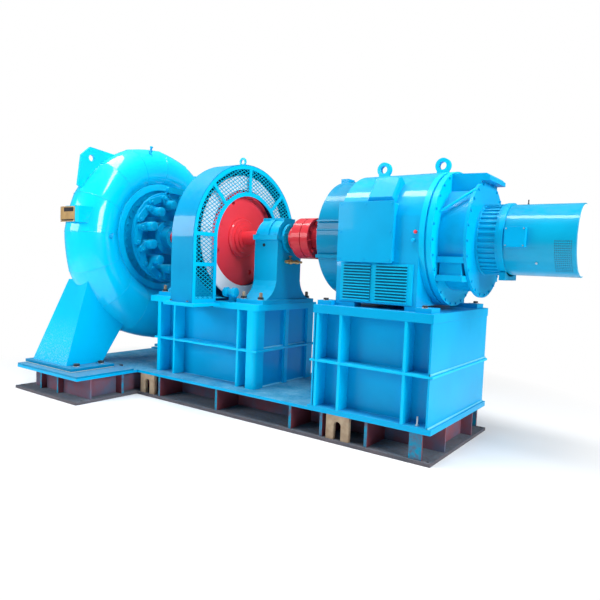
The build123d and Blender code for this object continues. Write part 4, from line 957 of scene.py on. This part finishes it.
def louvre_paint():
    """Louvres in a lighter cyan, with painted shade in the slots between them."""
    material = enamel("cyan_enamel_on_louvres", (0.0, 0.54, 0.86), (0.0, 0.48, 0.80))
    inside = material.node_tree
    point = point_of(inside)
    low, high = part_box("louvre_panel")
    first, last = (
        calc(inside, "COMPARE", point["X"], (x0 + x1) / 2, (x1 - x0) / 2)
        for x0, x1 in LOUVRE_COLUMNS
    )
    middle, half = (low.z + high.z) / 2, (high.z - low.z) / 2 - LOUVRE_RIM
    field = calc(inside, "COMPARE", point["Z"], middle, half)
    deep = calc(inside, "GREATER_THAN", point["Y"], low.y + LOUVRE_DEEP)
    column = calc(inside, "MAXIMUM", first, last)
    slot_shade = calc(inside, "MULTIPLY", calc(inside, "MULTIPLY", column, field), deep)
    # Painted shade in the louvre slots.
    return lay_over(material, slot_shade, (0.0, 0.17, 0.33))


def stator_shell():
    """A round crown between two flat sides, carried along X from end to end."""
    lean_angle = math.acos(STATOR_SIDE / STATOR_R)
    crown = np.linspace(lean_angle, math.pi - lean_angle, 49)
    outline = np.concatenate(
        [[(STATOR_SIDE, STATOR_BASE)],
         np.column_stack([STATOR_R * np.cos(crown), SHAFT_Z + STATOR_R * np.sin(crown)]),
         [(-STATOR_SIDE, STATOR_BASE)]]
    )
    rows = [np.column_stack([np.full(len(outline), x), outline]) for x in (STATOR_X, STATOR_END)]
    return (np.array(rows)[None], True, True)


finish(
    cyan, "rear_end_cover", "air_outlet_box", "generator_feet", "terminal_box", "junction_box"
)
finish(louvre_paint(), "louvre_panel")
finish(lit_bar_paint, "rear_flange_ring")
stator_paint = enamel("glossy_stator_enamel", CYAN, CYAN_DEEP, coat=0.45)
stator_skin = surface("stator_rolled_frame", [stator_shell()], stator_paint)
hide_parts("stator_frame")

# Drive end hood: a drum of sheet ahead of the stator, open at the shaft, with flat bars
# along both sides where its halves are bolted. Its darker cyan is painted shade.
HOOD_X, HOOD_R, HOOD_EDGE = 1.395, 0.530, 0.008
HOOD_BORE, HOOD_EYE, HOOD_EYE_DEEP = 0.100, 0.360, 0.034
HOOD_BARS = ((1.898, 0.014), (1.820, 0.014), (1.588, 0.030))
BAR_BACK, BAR_IN, BAR_OUT = 0.012, 0.44, 0.012
hood_long = STATOR_X - HOOD_X
hood_drum = [
    (hood_long, HOOD_BORE), (HOOD_EYE_DEEP, HOOD_BORE), (HOOD_EYE_DEEP, HOOD_EYE),
    (0.0, HOOD_EYE), (0.0, HOOD_R - HOOD_EDGE), (HOOD_EDGE, HOOD_R), (hood_long, HOOD_R),
]
hood_parts = [(turned(hood_drum, 96, [(HOOD_X, 0.0, SHAFT_Z)], X), True, "loop")]
for side in (-1, 1):
    for bar_z, bar_t in HOOD_BARS:
        y0, y1 = sorted((side * BAR_IN, side * (HOOD_R + BAR_OUT)))
        low = (HOOD_X + BAR_BACK, y0, bar_z - bar_t / 2)
        hood_parts.append(slab_part(low, (STATOR_X, y1, bar_z + bar_t / 2)))
hood_shade_paint = enamel("cyan_enamel_hood_painted_shade", (0.0, 0.26, 0.47), (0.0, 0.23, 0.42), coat=0.2)
hood_skin = surface("drive_end_drum", hood_parts, hood_shade_paint)
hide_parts("drive_end_hood")

# Generator bolting: eight small screws round the terminal box's lid, rings of bolts on
# the flange ring and the rear cover, and four large bolts through the feet.
LID_IN, LID_MIDDLE = 0.025, 4
GEN_BOLT_X, GEN_BOLT_Y, GEN_BOLT_Z = (1.57, 2.485), 0.588, 1.208
(lid_x0, lid_y, lid_z0), (lid_x1, _, lid_z1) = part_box("terminal_box")
lid_places = grid_of(
    (lid_x0 + LID_IN, (lid_x0 + lid_x1) / 2, lid_x1 - LID_IN), [lid_y],
    (lid_z0 + LID_IN, (lid_z0 + lid_z1) / 2, lid_z1 - LID_IN),
)
bolts("terminal_lid_bolts", np.delete(lid_places, LID_MIDDLE, 0), FRONT, 0.009, cyan)
ring_bolts("flange_ring_bolts", 0.545, 28, 3.0, face_x=2.495, size=0.012, paint=cyan)
ring_bolts("rear_cover_bolts", 0.457, 24, 4.0, face_x=2.737, size=0.012, paint=cyan)
bolts("generator_foot_bolts", grid_of(GEN_BOLT_X, both(GEN_BOLT_Y), [GEN_BOLT_Z]), Z, 0.026)

# Small fittings of the generator: a red earth mark and an oil nozzle on the stator's
# flat side, a stay rod on the end cover and a little box on the drive end hood.
MARK_AT, NOZZLE_AT = (2.352, -STATOR_SIDE, 1.799), (2.341, -STATOR_SIDE, 1.735)
STAY_FOOT, STAY_HEAD, STAY_R = Vector((2.495, -0.423, 1.966)), Vector((2.728, -0.3, 2.147)), 0.011
HOOD_BOX = ((1.40, -0.155, 2.24), (1.48, -0.045, 2.315))
button = [(0.0, 0.015), (0.006, 0.015), (0.009, 0.011), (0.010, 0.002)]
nozzle = [(0.0, 0.014), (0.01, 0.014), (0.012, 0.008), (0.034, 0.008), (0.036, 0.004)]
stay_line = STAY_HEAD - STAY_FOOT
stay = [(0.0, STAY_R), (stay_line.length, STAY_R)]
lathe("earth_mark", [(button, 16, [MARK_AT], FRONT)], red)
lathe("oil_nozzle", [(nozzle, 12, [NOZZLE_AT], FRONT)], lit_bar_paint)
lathe("end_cover_stay", [(stay, 12, [STAY_FOOT], stay_line)], lit_bar_paint)
surface("hood_box", [slab_part(*HOOD_BOX)], cyan)

# Exciter: a cast ring with level fins on the end plate, then a sheet cover with small
# round vent holes drawn as dark discs of painted shade, a terminal box at its side and a
# pale end cap.
FINS, FIN_X, FIN_IN, FIN_OUT, FIN_HALF, FIN_ROUND = 40, (2.757, 2.891), 0.270, 0.2845, 0.009, 0.002
VENT_X, VENT_TURN, VENT_COLUMNS, VENT_ROWS = (3.325, 3.436), (184.0, 238.0), 9, 16
VENT_R, VENT_CORE, VENT_LOW, VENT_HIGH = 0.0052, 0.2, 0.2795, 0.2815


def fin_ring():
    """Level bars round the ring: a rounded rectangle section carried along X at each turn."""
    angle = np.arange(FINS) * 2 * np.pi / FINS
    crest, top = 0.4 * FIN_HALF, FIN_OUT + FIN_ROUND
    side, out = np.array([
        (-FIN_HALF, FIN_IN), (FIN_HALF, FIN_IN), (FIN_HALF, FIN_OUT), (crest, top),
        (-crest, top), (-FIN_HALF, FIN_OUT),
    ]).T
    y = out * np.cos(angle)[:, None] - side * np.sin(angle)[:, None]
    z = SHAFT_Z + out * np.sin(angle)[:, None] + side * np.cos(angle)[:, None]
    rows = [np.stack([np.full_like(y, x), y, z], -1) for x in FIN_X]
    return (np.stack(rows, 1)[:, ::-1], True, True)


def vent_holes():
    """Round dark spots of painted shade for the vent holes in the exciter's cover, on a grid of x
    and of turn t about the shaft.

    Point = (x + hole cos a, R cos t - hole sin a sin t, Z + R sin t + hole sin a cos t).
    """
    x, t = np.meshgrid(
        np.linspace(*VENT_X, VENT_COLUMNS), np.radians(np.linspace(*VENT_TURN, VENT_ROWS))
    )
    x, t = x.ravel()[:, None, None], t.ravel()[:, None, None]
    a = np.arange(10)[None, None, :] * 2 * np.pi / 10
    hole = np.array([VENT_R, VENT_R * VENT_CORE])[None, :, None]
    far = np.array([VENT_LOW, VENT_HIGH])[None, :, None]
    spot = [
        x + hole * np.cos(a), far * np.cos(t) - hole * np.sin(a) * np.sin(t),
        SHAFT_Z + far * np.sin(t) + hole * np.sin(a) * np.cos(t),
    ]
    return (np.stack(np.broadcast_arrays(*spot), -1), True, True)


exciter_blue = enamel("cyan_enamel_exciter", (0.0, 0.37, 0.62), (0.0, 0.32, 0.56), coat=0.4)
pale = enamel(
    "pale_end_cap", (0.78, 0.84, 0.86), (0.70, 0.78, 0.82), dust=0.0, bare=0.1, rough=0.35
)
finish(cast_cyan, "exciter_stator_ring")
finish(exciter_blue, "exciter_cover")
finish(cyan, "exciter_terminal_box")
finish(pale, "exciter_end_cap")
BOX_BOLT_X, BOX_BOLT_Y, BOX_BOLT_Z = (2.985, 3.113), -0.32, (1.713, 1.839)
COVER_BOLT_AT, COVER_BOLT_AIM = (3.193, -0.214, 1.588), (0, -0.76, -0.65)
EXCITER_FOOT = ((2.905, -0.16, 1.445), (2.953, 0.16, 1.51))
SPIKE_AT, SPIKE_STUD = (3.054, 0.0, 2.05), 0.03
surface("exciter_ring_fins", [fin_ring()], cast_cyan)
bolts("exciter_box_bolts", grid_of(BOX_BOLT_X, [BOX_BOLT_Y], BOX_BOLT_Z), FRONT, 0.006, zinc)
bolts("exciter_cover_bolt", [COVER_BOLT_AT], COVER_BOLT_AIM, 0.010, zinc)
surface("exciter_foot", [slab_part(*EXCITER_FOOT)], cast_cyan)
surface("exciter_vent_holes", [vent_holes()], dark_field_and_hole_shade)
bolts("exciter_lifting_spike", [SPIKE_AT], Z, 0.010, stud=SPIKE_STUD)
